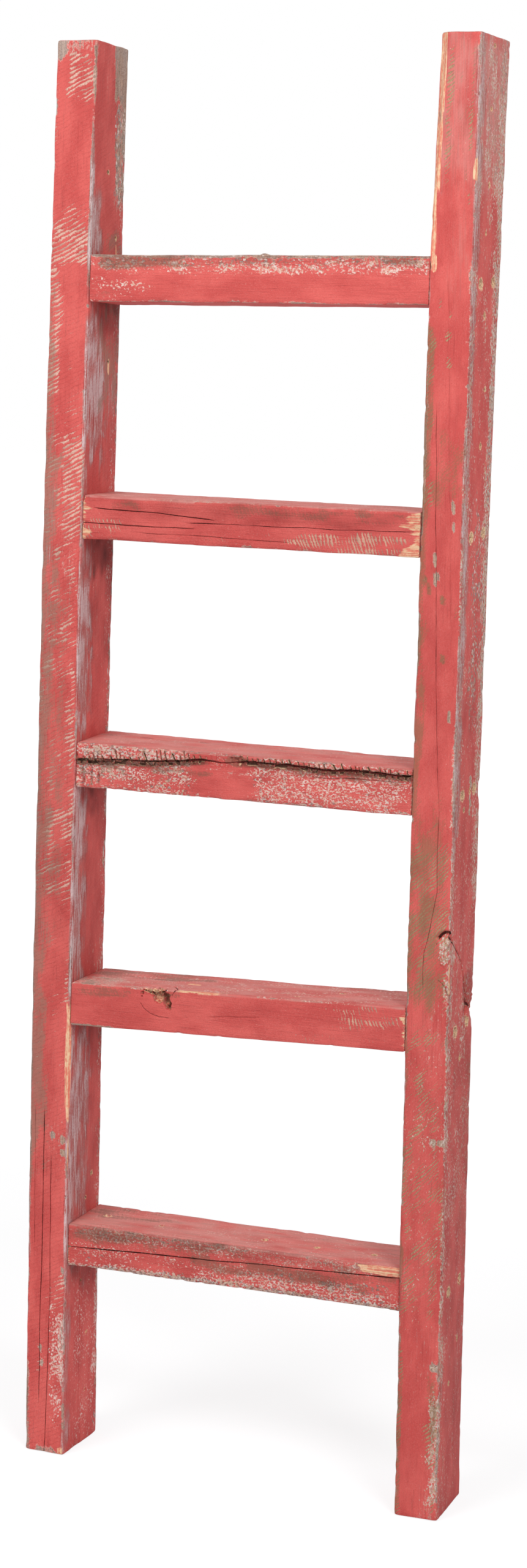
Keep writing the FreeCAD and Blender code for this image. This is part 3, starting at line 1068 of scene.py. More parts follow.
def wear_right_rail():
    """The rail with the knot, the khaki stains and the pits of its screws."""
    round_the_knot = [
        (434, 14.5), (474, 14.5), (494, 19), (524, 24.5), (563, 23.5), (590, 24), (655, 20), (800, 14),
        (930, 10),
    ]
    cracks = (
        Crack("front", [(735, 29), (790, 27), (900, 22), (1034, 16)], 0.05, 0.25, 0.7, 21),
        Crack("front", round_the_knot, 0.1, 0.3, 0.5, 22),
        Crack("right", [(30, 42), (115, 41)], 0.25, 1.0, 0.3, 23),
        Crack("back", [(60, 20), (560, 15)], 0.5, 2.5, 0.8, 24),
        Crack("left", [(690, 44), (1010, 40)], 0.4, 2.0, 0.6, 25),
    )
    nails = [
        ("right", 1211, 30.5, 2.0, 4), ("right", 1160, 28.7, 2.2, 3), ("right", 1099, 31, 2.4, 3),
        ("right", 1060, 28, 1.8, 3), ("right", 994, 31.5, 2.6, 4), ("right", 934, 40, 2.0, 3),
        ("right", 888, 35, 2.6, 4), ("right", 382, 33.6, 2.4, 3), ("right", 141, 48, 2.2, 3),
        ("right", 109, 26, 2.0, 3), ("right", 604, 39.5, 3.0, 3), ("right", 590, 25, 2.2, 3),
    ]
    finer = (("front", (408, 512), (18, 38), 2), ("right", (418, 496), (-1, 69), 2))
    rail = Board("rail_right", "Z", cracks, nails + screw_pits("right"), finer)

    # The inner front corner, worn away over the top
    _, along, across = rail.face("front")
    deep = rail.spots[:, 1]
    share = np.clip((along - WORN_CORNER_FOOT) / (LADDER_HEIGHT - WORN_CORNER_FOOT), 0, 1)
    steepness = math.hypot(WORN_CORNER_DEEP, WORN_CORNER_WIDE)
    normal = np.array([WORN_CORNER_DEEP, WORN_CORNER_WIDE]) / steepness
    past = WORN_CORNER_WIDE * share * normal[0] - (across * normal[0] + deep * normal[1])
    near = (across < WORN_CORNER_REACH) & (deep < WORN_CORNER_REACH)
    past = np.where(near, np.clip(past, 0, None), 0)
    press(rail.piece, past * normal[0], "X")
    press(rail.piece, past * normal[1], "Y")
    well_past_foot = along > WORN_CORNER_FOOT + 7
    worn = np.where(near & well_past_foot, smooth(past, 0.05, 0.9), 0)
    rail.mark("raw", worn * (0.62 + 0.35 * hills(along / 40, across / 3, 5)))
    rail.mark("bare", worn * 0.6)
    rail.weather(201)
    all_round(rail, 211, 0.14, 0.3, 0.18, 0.15)

    # Front: across runs from its left, inner edge
    rail.wear(
        "front", faded=[(1095, 1225, 0, 37, 0.66, 24, 4), (1000, 1110, 20, 37, 0.4, 30, 6)],
        stain=[
            (1100, 1225, 6, 37, 0.36, 24, 4), (862, 985, -1, 8, 1.0, 14, 2),
            (740, 985, -1, 5, 0.8, 20, 2), (836, 905, 8, 38, 0.6, 16, 5), (420, 600, 0, 32, 0.75, 20, 6),
            (420, 860, -1, 9, 0.8, 20, 4), (-5, 430, -1, 4, 0.72, 20, 2), (150, 420, 20, 38, 0.36, 20, 5),
            (60, 124, 27, 37, 0.8, 12, 3), (0, 140, -1, 5, 0.8, 12, 2),
        ],
        strokes=[
            (1110, 1219, 14, 30, 0.62, 20, 5), (1060, 1105, 4, 14, 0.5, 14, 3),
            (820, 985, -1, 10, 1.0, 16, 3), (880, 1000, 15, 21, 0.42, 16, 3),
            (690, 722, 2, 36, 0.6, 5, 3), (733, 780, 31, 35, 0.9, 8, 1.5), (587, 621, 2, 13, 0.9, 8, 3),
            (600, 860, 0, 37, 0.3), (328, 398, -1, 10, 0.8, 10, 3), (424, 566, 0, 38, 1.12, 12, 4),
            (560, 640, 0, 31, 0.6, 20, 6), (160, 420, 0, 38, 0.84, 20, 6), (225, 330, 0, 14, 1.0, 14, 4),
            (219, 305, 33, 38, 1.0, 10, 2), (4, 126, 27, 37, 1.0, 12, 3), (-5, 140, -1, 6, 1.1, 14, 1.5),
        ],
        grey=[(1080, 1225, 33, 38, 0.6, 20, 2)],
        bare=[
            (820, 960, -1, 3.5, 0.62, 14, 1), (577, 641, 34.5, 38, 0.7, 8, 1),
            (10, 100, 30, 35, 0.5, 12, 2),
        ],
        speckle=[
            (150, 400, 0, 38, 0.5, 20, 6), (577, 641, 33, 38, 1.2, 8, 1), (2, 120, 27, 37, 1.1, 12, 3),
        ],
        raw=[(1099, 1121, 34.4, 38, 1.0, 5, 0.7)],
        dark=[(-60, 900, -1, 38, 0.16, 60, 4), (150, 400, -1, 38, 0.24, 50, 4)],
    )
    for start, stop, wide in ((1140, 1225, 7.4), (1085, 1150, 6.6), (1034, 1095, 4.6)):
        rail.wash("raw", "front", (start, stop), (-1, wide), 1.0, (10, 0.7))
    rail.spot("raw", "front", (1034, 4), (8, 3), 1.0)
    for across in (12.5, 31.5):
        rail.wash("strokes", "front", (1098, 1222), (across - 3.5, across + 2.5), 1.12, (14, 1.5))
    for height, across in ((779, 5), (771, 9.5), (763, 22), (731, 2.6), (715, 22)):
        rail.spot("strokes", "front", (height, across), (5, 2.4), 1.1)
        rail.spot("stain", "front", (height, across), (6, 3), 1.0)
    for height, across in ((1085, 32), (1003, 10), (994, 20), (976, 18), (955, 19), (940, 17)):
        rail.spot("strokes", "front", (height, across), (7, 2.4), 1.0)
    for height, across in ((838, 28), (822, 28), (795, 14), (780, 15), (700, 27), (668, 30)):
        rail.spot("bare", "front", (height, across), (7, 1.6), 0.95)
    chips = ((316, 27, 4, 3), (317, 34, 3, 4), (129, 32, 4, 4.5), (92, 32, 6, 3.5))
    for height, across, long, wide in chips:
        rail.spot("bare", "front", (height, across), (long, wide), 1.0)
        rail.spot("speckle", "front", (height, across), (long, wide), 0.9)

    # The knot at its right edge, with a loose chip under it and a bent split onto the outer face,
    # with painted shade beside the split
    rail.hollow("front", (477, 33), (15, 9), -1.2, 0.3)
    rail.hollow("front", (440, 36), (12, 5), 1.4, 0.3)
    rail.spot("bare", "front", (474, 34), (10, 5), 0.3)
    rail.spot("speckle", "front", (477, 33), (14, 7), 1.25)
    rail.spot("speckle", "front", (446, 35), (20, 4), 1.1)
    rail.spot("raw", "front", (452, 37.5), (20, 1.8), 0.6)
    rail.trace("front", [(487, 27), (490, 29.5), (491.6, 32), (491.8, 35), (490.5, 38.5)], 1.4, 4.0)
    rail.trace("front", [(481, 25.4), (487, 27)], 0.3, 0.8)
    rail.trace("front", [(451.5, 27), (450, 30), (446, 33.5), (440, 35)], 0.12, 0.5)
    rail.trace("right", [(490, -1), (484, 5)], 1.3, 3.0)
    rail.trace("right", [(484, 5), (471, 22), (462, 31)], 0.5, 1.8)
    rail.trace("right", [(462, 31), (452, 36), (440, 40)], 1.2, 3.0)
    rail.trace("right", [(440, 40), (430, 46), (421, 56), (416, 66)], 0.9, 3.0)
    rail.spot("speckle", "right", (474, 8), (14, 9), 1.1)
    rail.spot("dark", "right", (440, 42), (16, 8), 0.6)
    for height, across in ((455, 33), (446, 42), (436, 46), (425, 50)):
        rail.spot("raw", "right", (height, across), (4, 1.6), 0.7)

    # Outer face: across runs from its front edge
    rail.wear(
        "right",
        grey=[
            (-5, 1225, -1, 9, 0.42, 10, 5), (1085, 1225, -1, 14, 0.5, 20, 4),
            (560, 1090, -1, 18, 0.45, 40, 6), (560, 1225, -1, 14, 0.75, 30, 6),
        ],
        speckle=[
            (-5, 1225, -1, 9, 1.15, 20, 4), (190, 430, -1, 22, 0.6, 30, 5),
            (190, 560, -1, 70, 0.72, 30, 5), (560, 1225, -1, 14, 0.95, 20, 4),
            (-5, 1225, -1, 22, 0.7, 20, 6), (1060, 1225, 12, 70, 0.95, 30, 8),
            (500, 1225, 48, 70, 1.1, 20, 6), (60, 510, 48, 70, 0.5, 20, 8),
            (-5, 1225, 10, 56, 0.5, 20, 8), (900, 1060, 20, 52, 0.7, 20, 8),
        ],
        flake=[
            (560, 1215, -1, 14, 0.42, 30, 6), (-5, 560, -1, 12, 0.42, 30, 5),
            (1090, 1225, 44, 70, 0.62, 24, 8), (1090, 1225, 12, 70, 0.34, 30, 10),
            (640, 1095, 51, 70, 0.8, 20, 6), (110, 660, 58, 70, 0.5, 20, 6),
            (640, 860, 20, 70, 0.6, 40, 12),
        ],
        stain=[(190, 430, 38, 70, 0.5, 30, 5), (1090, 1200, 30, 70, 0.5, 24, 10)],
        faded=[(1090, 1225, -1, 70, 1.0, 30, 10), (1160, 1225, 40, 70, 1.3, 24, 8)],
        dark=[(-60, 700, -1, 70, 0.24, 60, 4), (20, 460, 9, 70, 0.36, 50, 6)],
    )
    for height, across in ((613, 40), (608, 42), (598, 40.5), (593, 42), (587, 41)):
        rail.spot("bare", "right", (height, across), (3.4, 2.6), 1.0)
        rail.spot("speckle", "right", (height, across), (5, 3.4), 1.3)
        rail.hollow("right", (height, across), (4, 3), 0.8)
    # A hollow under the knot, darkened inside and beside the split with painted shade
    rail.hollow("right", (425, 47), (17, 7), 2.4, 0.5)
    rail.spot("dark", "right", (425, 47), (12, 5), 0.8)
    rail.spot("bare", "right", (425, 47), (20, 9), 0.2)
    rail.spot("dark", "right", (436, 54), (22, 14), 0.6)
    rail.hollow("right", (418, 66), (16, 6), 2.2, 0.4)
    rail.hollow("right", (602, 66), (14, 5), 1.6, 0.4)

    # Inner face and back, which the photograph doesn't show
    rail.wear(
        "left", grey=[(50, 1150, -1, 12, 0.55, 60, 8)], strokes=[(100, 900, 15, 60, 0.7, 80, 14)],
        speckle=[(0, 1225, 48, 70, 0.6, 40, 10)],
    )
    rail.wear(
        "back", flake=[(500, 1100, 0, 37, 0.5, 80, 6)], bare=[(900, 1225, 10, 37, 0.7, 60, 5)],
        strokes=[(0, 500, 0, 37, 0.75, 80, 6)],
    )
    # Painted shade on the inner face where each rung's end meets it
    for top in (1040.5, 833.7, 623.0, 426.4, 207.1):
        rail.wash("dark", "left", (top - 42, top + 6), (10, 70), 0.35, (5, 6))
    mark_pits(rail)
    return rail


# ---------------------------------------------------------------- the rungs
# On a rung's front, across runs up from its bottom edge, and on its top back from its front edge.


def wear_rung_1():
    """The top rung, with a weathered brown band along its upper front."""
    rung = Board("rung_1", "X", (Crack("back", [(60, 19), (290, 17)], 0.35, 1.5, 0.4, 31),))
    rung.weather(301, 0.3, 0.8)
    all_round(rung, 311, 0.1, 0.12, 0.05, 0.1)
    rung.wear(
        "front", bare=[(-5, 310, 35, 42, 0.4, 8, 3), (0, 305, -1, 1.5, 0.5, 8, 1)],
        stain=[
            (-5, 310, 29, 42, 0.62, 8, 3), (-5, 100, 28, 42, 0.8, 10, 3), (170, 250, 30, 42, 0.5, 12, 3),
            (-5, 50, 1, 14, 0.45, 14, 4),
        ],
        flake=[(-5, 310, 28, 42, 0.55, 8, 4)], dark=[(-5, 310, 32, 42, 0.12, 8, 4)],
        strokes=[(-5, 310, 26, 40, 0.8, 8, 3), (118, 148, 20, 34, 0.85, 6, 3)],
        speckle=[(-5, 310, 24, 37, 0.95, 8, 3), (-5, 62, 1, 20, 0.8, 14, 4)],
    )
    rung.wear(
        "top", bare=[(-5, 310, -1, 70, 0.7, 8, 3)], flake=[(-5, 310, -1, 70, 0.6, 8, 3)],
        stain=[(-5, 310, -1, 70, 0.5, 8, 3)],
    )
    rung.wear("back", flake=[(40, 240, 8, 42, 0.5, 30, 6)])
    rung.hollow("top", (159, 3), (4, 3), -1.8, 0.2)
    return rung


def wear_rung_2():
    """The rung with long cracks, brown blotches and raw splintered ends."""
    cracks = (
        Crack("front", [(3, 27.5), (70, 25.5), (128, 21)], 0.26, 1.4, 0.5, 41),
        Crack("front", [(-5, 14), (110, 13.5)], 0.24, 1.2, 0.3, 42),
        Crack("front", [(92, 18), (150, 19), (237, 19.5), (310, 21.5)], 0.3, 1.8, 0.5, 43),
        Crack("front", [(40, 8), (200, 7)], 0.12, 0.4, 0.5, 44),
    )
    rung = Board("rung_2", "X", cracks)
    rung.weather(401, 0.25, 0.6)
    all_round(rung, 411, 0.1, 0.2, 0.1, 0.1)
    rung.wear(
        "front",
        strokes=[
            (-5, 42, 0, 20, 1.0, 8, 3), (108, 136, 3, 15, 0.72, 5, 3), (160, 176, 5, 18, 0.72, 4, 3),
            (190, 302, -1, 17, 1.2, 14, 3), (205, 262, 16, 34, 0.72, 14, 5),
            (132, 180, 26, 36, 0.72, 10, 3),
        ],
        stain=[
            (22, 62, 27, 36, 0.75, 8, 3), (130, 240, 24, 37, 0.7, 16, 4), (244, 300, 28, 37, 0.7, 12, 3),
            (195, 300, 22, 30, 0.5, 12, 3),
        ],
        dark=[
            (-15, 320, -1, 42, 0.2, 8, 4), (20, 310, 19, 38, 0.36, 14, 4), (172, 290, 21, 33, 0.5, 14, 4),
        ],
        raw=[
            (-5, 3.5, 0, 37, 0.8, 3, 1), (-5, 9, 2, 9, 0.85, 4, 2), (-5, 9, 25, 31, 1.0, 4, 2),
            (298, 310, 0, 36, 1.1, 4, 1), (290, 310, 28, 33, 0.8, 5, 2), (287, 310, 0, 8, 0.85, 5, 2),
            (286, 310, 24, 29, 0.8, 5, 2),
        ],
    )
    rung.wear(
        "top", faded=[(-5, 310, -1, 70, 1.1, 8, 3)], bare=[(-5, 310, -1, 70, 0.3, 8, 3)],
        speckle=[(-5, 310, -1, 70, 0.45, 8, 3)], stain=[(190, 310, -1, 70, 0.45, 20, 5)],
    )
    rung.wear("back", strokes=[(0, 200, 0, 40, 0.8, 20, 5)])
    rung.hollow("front", (1, 36), (9, 4), 2.2)
    rung.hollow("front", (1, 14), (5, 3), 1.5)
    rung.hollow("front", (303, 24), (6, 4), 1.2)
    return rung


def wear_rung_3():
    """The rung with the deep fissure and crazed, flaking paint."""
    fissure = [
        (-5, 22), (30, 24), (56, 25.7), (91, 29), (124, 31.5), (160, 33.5), (195, 34),
        (230, 33), (275, 32.5), (310, 32.5),
    ]
    cracks = (
        Crack("front", fissure, 0.4, 3.4, 1.3, 51, 1.2),
        Crack("front", [(205, 26), (310, 26.5)], 0.1, 0.5, 0.9, 52),
    )
    finer = (("front", (-1, 306), (12, 39)), ("front", (-1, 306), (18, 39)))
    rung = Board("rung_3", "X", cracks, (), finer)
    rung.weather(501, 0.4, 1.0)
    all_round(rung, 511, 0.15, 0.1, 0.1, 0.2)
    for near, far, level in ((-5, 112, 0.52), (160, 310, 0.36)):
        rung.wash("flake", "front", (near, far), (-1, 40), level, (9, 3))
        rung.wash("speckle", "front", (near, far), (-1, 40), 1.15, (9, 3))
    rung.wear(
        "front", dark=[(-15, 320, -5, 42, 0.22, 8, 4), (165, 305, 24, 31, 0.3, 10, 2)],
        flake=[(-5, 112, 25, 40, 0.62, 9, 3)],
        speckle=[(-5, 112, 24, 40, 1.75, 9, 3), (-5, 30, 2, 20, 1.5, 6, 3), (195, 292, 3, 24, 1.4, 9, 4)],
        grey=[(-5, 110, 24, 40, 0.2, 12, 4)],
        stain=[(-5, 130, 18, 25, 0.7, 12, 3), (165, 300, 24, 33, 0.8, 12, 3)],
    )
    rung.wear(
        "top", faded=[(-5, 310, -1, 70, 0.85, 8, 3)], speckle=[(-5, 310, -1, 70, 0.6, 8, 3)],
        strokes=[(-5, 310, -1, 70, 0.45, 8, 3)],
        stain=[(-5, 310, -1, 70, 0.36, 14, 6), (-5, 60, 40, 70, 0.5, 12, 6)],
        flake=[(-5, 310, -1, 5, 0.5, 12, 2)],
    )
    rung.wear("back", flake=[(-5, 310, -1, 20, 0.8, 12, 5)])
    rung.wear("bottom", flake=[(-5, 310, -1, 70, 0.5, 12, 5)])

    # The fissure's upper lip: short checks that stand on it and small blocks missing, both darkened
    # with painted shade, and grime with painted shade along the lip
    on, along, across = rung.face("front")
    over = across - cracks[0].line(along)
    apart = 5.4
    broken = smooth(np.abs(along - 137), 10, 24) * 0.7 + 0.3
    beat = (along + over * 0.3) / apart + 0.8 * hills(along / 12, along * 0, 58)
    check = np.round(beat)
    off_check = np.abs(beat - check) * apart
    tall = 2.4 + 4.5 * np.abs(hills(check * 0.73, check * 0 + 2, 59)) * np.where(along < 112, 1.7, 1.0)
    within = smooth(over, -2.6, -1.0) * (1 - smooth(over, tall - 0.8, tall + 0.8))
    checks = np.clip(1.5 - off_check / 0.62, 0, 1) * within
    blocks = smooth(hills(along / 2.3, over / 2.1 + 4, 57), 0.0, 0.3)
    blocks = blocks * smooth(over, -4.2, -3.0) * (1 - smooth(over, 0.8, 1.6))
    checks = np.where(on, np.maximum(checks, blocks * 1.1) * broken, 0)
    rung.sink("front", checks * 2.0)
    rung.mark("pit", np.clip(checks, 0, 1))
    dirt_and_shade = np.where(on, np.exp(-((over + 1.6) / 3.8) ** 2) * broken, 0)
    rung.mark("dark", dirt_and_shade * 0.85)
    rung.mark("stain", dirt_and_shade)

    # Pieces torn out of its lower left end, with painted shade in them, and a wider break in the fissure
    for place, width in ((6, 4), (14, 3), (21, 2.2)):
        rung.hollow("front", (place, 10), (width, 11), 1.6, 0.6)
        rung.spot("dark", "front", (place + 1, 10), (width * 0.6, 9), 0.7)
    rung.hollow("front", (150, 34), (10, 4), 2.4, 0.5)
    rung.spot("stain", "front", (150, 33), (14, 6), 0.9)
    rung.spot("dark", "top", (46, 45), (7, 3), 0.4)
    rung.spot("dark", "top", (99, 47), (5, 3), 0.4)
    return rung


def wear_rung_4():
    """The rung with the broken knot in its top front edge."""
    cracks = (
        Crack("front", [(118, 15), (150, 18), (185, 20)], 0.08, 0.4, 0.3, 61),
        Crack("top", [(262, 30), (310, 24)], 0.35, 1.5, 0.6, 62),
    )
    finer = (("front", (56, 112), (8, 39), 2), ("top", (56, 116), (-1, 24), 2))
    rung = Board("rung_4", "X", cracks, (("top", 236, 38, 2.6, 4), ("top", 205, 12, 1.8, 3)), finer)
    rung.weather(601, 0.25, 0.6)
    all_round(rung, 611, 0.1, 0.15, 0.05, 0.1)

    # The hole that the knot left in the front, with a torn tongue, and the broken rim on top, both
    # darkened inside with painted shade
    on, along, across = rung.face("front")
    deep = rung.spots[:, 1]
    low_reach = 9 + 7 * smooth(along, 74, 89)
    hole = np.hypot((along - 79) / 13, (38 - across) / low_reach)
    tongue = np.hypot((along - 90 + (across - 27) * 0.35) / 3.6, (across - 27) / 9)
    hole = np.minimum(hole, tongue)
    broken_edge = 0.3 * hills(along / 3.2, across / 3.2, 64) + 0.08 * hills(along / 1.1, across / 1.1, 69)
    hole = hole * (1 + broken_edge)
    rim = np.hypot((along - 79) / 15, deep / 9) * (1 + 0.35 * hills(along / 3, deep / 3, 65))
    torn = np.where(on, 1 - smooth(hole, 0.78, 1.0), 0) * smooth(along, 64, 69)
    splinters = 1 + 0.45 * hills(along / 1.6, across / 4, 66)
    rung.sink("front", torn * 5.5 * splinters)
    on_top, _, _ = rung.face("top")
    gone = np.where(on_top, 1 - smooth(rim, 0.6, 1.0), 0)
    rung.sink("top", gone * 2.6 * (1 + 0.5 * hills(along / 1.6, deep / 3, 67)))
    chewed = np.maximum(torn, gone)
    rung.mark("raw", chewed * 0.9)
    shaded = 0.5 + 0.7 * hills(along / 1.7, across / 2.2, 68) + 0.36 * smooth(along, 80, 92)
    rung.mark("dark", chewed * shaded)
    rung.spot("dark", "front", (90, 29), (3, 5), 1.0)

    # Thin splits round the hole, then the paint
    rung.trace("front", [(95, 32), (98, 37)], 0.15, 0.6)
    rung.trace("front", [(66, 24), (69, 19.5), (75, 15.5), (83, 13.2), (92, 12.6)], 0.12, 0.3)
    rung.trace("front", [(92, 12.6), (104, 13.4), (120, 16)], 0.05, 0.1)
    rung.trace("top", [(97, 0), (99, 3), (97, 8), (93, 13)], 0.35, 0.8)
    rung.wear(
        "front", dark=[(-15, 320, -5, 42, 0.16, 8, 4)],
        stain=[(-5, 62, 26, 38, 0.6, 10, 4), (88, 110, 30, 38, 0.6, 6, 3)],
        bare=[(-5, 40, -1, 2.2, 0.9, 8, 1)],
        raw=[(98, 142, 36, 38, 0.75, 8, 0.8), (300.5, 310, 3, 30, 0.75, 3, 2)],
        strokes=[
            (214, 305, 14, 36, 0.85, 10, 4), (200, 290, 1, 10, 0.62, 10, 3),
            (120, 160, 28, 37, 0.5, 8, 3),
        ],
    )
    rung.wear(
        "top", raw=[(98, 142, -1, 2, 0.75, 8, 0.8)], faded=[(-5, 310, -1, 70, 0.8, 8, 3)],
        speckle=[(-5, 310, -1, 70, 0.66, 8, 3)], strokes=[(-5, 310, -1, 70, 0.55, 8, 3)],
        bare=[(-5, 70, -1, 30, 0.45, 14, 6)],
        stain=[(-5, 110, 36, 70, 0.9, 20, 8), (200, 310, 45, 70, 0.5, 20, 6)],
    )
    rung.wear("back", strokes=[(50, 260, 0, 40, 0.8, 20, 5)])
    rung.spot("raw", "top", (104, 28), (9, 3), 0.8)
    mark_pits(rung)
    return rung


def wear_rung_5():
    """The bottom rung, with old nail holes in its top and a crack that climbs its front."""
    cracks = (
        Crack("front", [(-5, 16.5), (100, 20), (200, 24.5), (310, 28.3)], 0.4, 2.0, 0.4, 71),
        Crack("top", [(20, 52), (300, 49)], 0.12, 0.5, 0.5, 72),
    )
    nails = (
        ("top", 22, 34, 3.0, 3), ("top", 77, 28, 2.4, 4), ("top", 174, 27.5, 2.6, 4),
        ("top", 222, 26, 2.6, 4), ("top", 273, 27, 2.4, 4),
    )
    rung = Board("rung_5", "X", cracks, nails)
    rung.weather(701, 0.3, 0.9)
    all_round(rung, 711, 0.15, 0.1, 0.1, 0.2)
    rung.wear(
        "front", bare=[(-5, 310, 25, 38, 0.36, 10, 4)],
        dark=[
            (-15, 320, -5, 42, 0.24, 10, 4), (-15, 262, 26, 42, 0.5, 12, 3),
            (170, 285, 10, 25, 0.34, 16, 3), (-5, 240, 30, 38, 0.3, 20, 4),
            (240, 270, 20, 30, 0.35, 8, 4),
        ],
        speckle=[
            (-5, 310, -1, 24, 0.85, 10, 4), (-5, 310, 0, 38, 0.55, 10, 4), (20, 310, -1, 7, 1.4, 12, 2),
            (150, 310, 2, 17, 1.35, 16, 3), (10, 290, 24, 38, 1.12, 12, 3), (-5, 310, 0, 4, 1.7, 12, 1.5),
        ],
        stain=[(-5, 310, 22, 38, 0.75, 10, 4), (110, 285, 10, 25, 0.9, 16, 3)],
        flake=[(-5, 310, 0, 38, 0.3, 10, 4), (170, 310, 0, 22, 0.5, 20, 4), (40, 310, -1, 5, 1.0, 12, 2)],
        grey=[(0, 310, -1, 6, 0.3, 12, 2)],
        raw=[(270, 312, 28.5, 38, 1.2, 8, 2), (-5, 3, 2, 20, 0.7, 2, 2)],
    )
    rung.wear(
        "top", faded=[(-5, 310, -1, 70, 0.95, 8, 3)],
        stain=[
            (-5, 80, 30, 70, 0.7, 14, 10), (230, 310, 45, 70, 0.4, 14, 10), (0, 305, 0, 67, 0.36, 14, 6),
        ],
        strokes=[(0, 305, 0, 67, 0.45, 14, 6)], speckle=[(0, 305, 0, 67, 0.6, 14, 6)],
    )
    rung.wear("bottom", flake=[(-5, 310, -1, 20, 0.9, 12, 6)])
    mark_pits(rung)
    return rung


# ---------------------------------------------------------------- screws


SCREW_LENGTH = 76.0
SHANK_RADIUS = 2.1
HEAD_RADIUS = 4.0
HEAD_HEIGHT = 3.6
HEAD_RIM = 0.5
TIP_LENGTH = 6.0
DRIVE_WIDTH = 2.6
DRIVE_DEPTH = 2.0


def pick_cap(piece, at_x):
    """Selects the flat cap of a turned piece that lies at one place along X."""
    faces = piece.data.polygons
    cap = [abs(face.center.x - at_x) < 1e-6 and abs(face.normal.x) > 0.9 for face in faces]
    open_with(piece, "faces", faces=np.array(cap))


def draw_out(piece, from_x, by, scale):
    """Draws the cap at one place further out along X and widens or narrows it."""
    pick_cap(piece, from_x)
    bpy.ops.mesh.extrude_region_move(TRANSFORM_OT_translate={"value": (by, 0, 0)})
    bpy.ops.transform.resize(value=(1, scale, scale), center_override=(from_x + by, 0, 0))
    bpy.ops.object.mode_set(mode="OBJECT")


def make_screw():
    """One countersunk wood screw with a square drive, its head facing +X at the origin."""
    bpy.ops.object.select_all(action="DESELECT")
    neck = -HEAD_HEIGHT * MM
    root = -(SCREW_LENGTH - TIP_LENGTH) * MM
    bpy.ops.mesh.primitive_cylinder_add(
        vertices=24, radius=SHANK_RADIUS * MM, depth=neck - root,
        location=((neck + root) / 2, 0, 0), rotation=(0, math.pi / 2, 0),
    )
    screw = bpy.context.object
    set_in_place()
    draw_out(screw, neck, (HEAD_HEIGHT - HEAD_RIM) * MM, HEAD_RADIUS / SHANK_RADIUS)
    draw_out(screw, -HEAD_RIM * MM, HEAD_RIM * MM, 0.94)
    draw_out(screw, root, -TIP_LENGTH * MM, 0.08)
    bpy.ops.object.select_all(action="DESELECT")
    bpy.ops.mesh.primitive_cube_add(
        size=1.0, location=(0, 0, 0), scale=(2 * DRIVE_DEPTH * MM, DRIVE_WIDTH * MM, DRIVE_WIDTH * MM)
    )
    drive = bpy.context.object
    set_in_place()
    cut_away(screw, drive)
    return screw


def sink_screws(pattern, node, finish):
    """Sets the two screws of one rung end where the CAD has them."""
    low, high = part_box(node)
    on_right = low[0] + high[0] > 0
    head = high[0] if on_right else low[0]
    copies = []
    for centre in screw_centres(node):
        copy = pattern.copy()
        copy.data = pattern.data.copy()
        bpy.context.scene.collection.objects.link(copy)
        drive_turn = math.radians((centre[2] / MM * 37) % 90)
        copy.rotation_euler = (drive_turn, 0, 0 if on_right else math.pi)
        copy.location = (head, centre[1], centre[2])
        only(copy)
        set_in_place()
        copies.append(copy)
    pair = join(copies)
    pair.name = node + "_steel"
    pair.data.name = pair.name
    pair.data.materials.clear()
    pair.data.materials.append(finish)
    settle(pair)
    only(pair)
    bpy.ops.object.shade_smooth_by_angle(angle=math.radians(30))
    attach(pair, "root")
    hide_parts(node)


# ---------------------------------------------------------------- studio


# How white the floor stays near the ladder, how strong the room's light is, and each lamp's
# name, place, aim, width in metres and watts
FLOOR_SEEN = 0.74
ROOM_LIGHT = 0.46
LAMPS = (
    ("key", (-1.2, -2.7, 3.6), (0.0, 0.0, 0.7), 1.8, 80.0),
    ("fill", (2.5, -2.6, 2.9), (0.0, 0.0, 0.7), 1.5, 78.0),
)


def place_camera():
    """The camera of the photograph: near the height of the top rung, to the right of the ladder."""
    camera = bpy.data.cameras.new("camera")
    camera.sensor_fit = "VERTICAL"
    camera.sensor_height = SENSOR_HEIGHT
    camera.lens = LENS_PIXELS / IMAGE_HEIGHT * SENSOR_HEIGHT
    camera.shift_x, camera.shift_y = CAMERA_SHIFT
    holder = bpy.data.objects.new("camera", camera)
    holder.location = CAMERA_PLACE
    holder.rotation_euler = Euler([math.radians(angle) for angle in CAMERA_TURN], "XYZ")
    bpy.context.scene.collection.objects.link(holder)
    bpy.context.scene.camera = holder


def lay_floor():
    """A plain white floor that the camera sees as white but for the ladder's faint shadow."""
    bpy.ops.object.select_all(action="DESELECT")
    bpy.ops.mesh.primitive_plane_add(size=80.0, location=(0, 0, -0.0004))
    floor = bpy.context.object
    floor.name = "floor"
    set_in_place()
    finish = Finish(bpy.data.materials.new("white_floor"))
    seen = finish.node("ShaderNodeLightPath", {}, {}, "Is Camera Ray")
    lit = finish.node("ShaderNodeBsdfDiffuse", {}, {"Color": (0.86, 0.86, 0.88, 1), "Roughness": 0.5})
    plain = finish.node("ShaderNodeEmission", {}, {"Color": (1, 1, 1, 1), "Strength": 1.08})
    place = finish.node("ShaderNodeTexCoord", {}, {}, "Object")
    far = finish.node("ShaderNodeVectorMath", {"operation": "LENGTH"}, {0: place}, "Value")
    share = finish.ramp(far, 0.5, 2.5, FLOOR_SEEN, 1.0)
    floor_look = finish.node("ShaderNodeMixShader", {}, {0: seen * share, 1: lit, 2: plain})
    finish.node("ShaderNodeOutputMaterial", {}, {"Surface": floor_look})
    floor.data.materials.append(finish.holder)


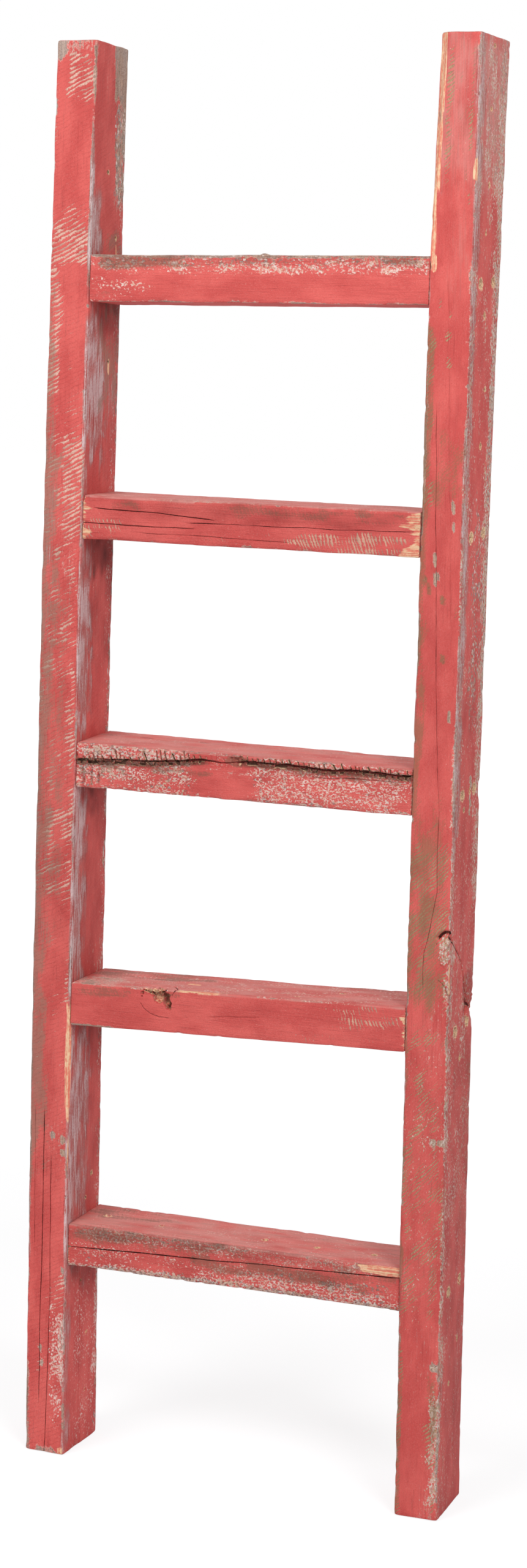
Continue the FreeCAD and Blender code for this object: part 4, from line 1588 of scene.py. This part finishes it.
def light_studio():
    """Soft light from the upper left in front, and a pale room all round."""
    finish = Finish(bpy.data.worlds.new("room"))
    bpy.context.scene.world = finish.holder
    seen = finish.node("ShaderNodeLightPath", {}, {}, "Is Camera Ray")
    glossy = finish.node("ShaderNodeLightPath", {}, {}, "Is Glossy Ray")
    through = finish.node("ShaderNodeLightPath", {}, {}, "Is Transmission Ray")
    white = seen.at_least(glossy * 0.6).at_least(through)
    strength = white * (1.0 - ROOM_LIGHT) + ROOM_LIGHT
    room = finish.node("ShaderNodeBackground", {}, {"Color": (1, 1, 1, 1), "Strength": strength})
    finish.node("ShaderNodeOutputWorld", {}, {"Surface": room})
    for name, place, aim, size, watts in LAMPS:
        lamp = bpy.data.lights.new(name, "AREA")
        lamp.shape = "DISK"
        lamp.size = size
        lamp.energy = watts
        holder = bpy.data.objects.new(name, lamp)
        holder.location = place
        holder.rotation_euler = (Vector(aim) - Vector(place)).to_track_quat("-Z", "Y").to_euler()
        bpy.context.scene.collection.objects.link(holder)


# ---------------------------------------------------------------- making the ladder


place_camera()
left_tones = (STROKE_TAN, WOOD_TAN, GREY_BROWN, PALE_CHIP)
right_tones = (KHAKI_LIGHT, KHAKI, KHAKI_DIRT, PALE_CHIP)
rung_tones = (STROKE_PINK, WOOD_TAN, RUNG_DIRT, PALE_CHIP)
curl_tones = (STROKE_PINK, WOOD_TAN, RUNG_DIRT, CURL_PINK)
left_paint = painted_wood(
    "painted_left_rail", "Z", slope=0.48, pitch=3.9, scoring=0.7, cell_size=2.0, tones=left_tones, fan=1.0
)
right_paint = painted_wood(
    "painted_right_rail", "Z", slope=0.95, pitch=3.3, scoring=0.2, cell_size=1.35, tones=right_tones, fan=5.0
)
rung_paint = painted_wood(
    "painted_rung", "X", slope=-0.32, pitch=3.1, scoring=0.3, cell_size=1.5, tones=rung_tones, fan=1.0
)
flaking_paint = painted_wood(
    "painted_rung_flaking", "X", slope=-0.32, pitch=4.0, scoring=0.0, cell_size=1.6, tones=curl_tones,
    curls=1.0,
)
steel = screw_steel()

wear_left_rail().finish(left_paint)
wear_right_rail().finish(right_paint)
for wear_rung in (wear_rung_3, wear_rung_5):
    wear_rung().finish(flaking_paint)
for wear_rung in (wear_rung_1, wear_rung_2, wear_rung_4):
    wear_rung().finish(rung_paint)

pattern_screw = make_screw()
for number in RUNG_NUMBERS:
    for side in ("left", "right"):
        sink_screws(pattern_screw, f"rung_{number}_screws_{side}", steel)
bpy.data.objects.remove(pattern_screw)

lay_floor()
light_studio()
bpy.context.scene.view_settings.view_transform = "Standard"
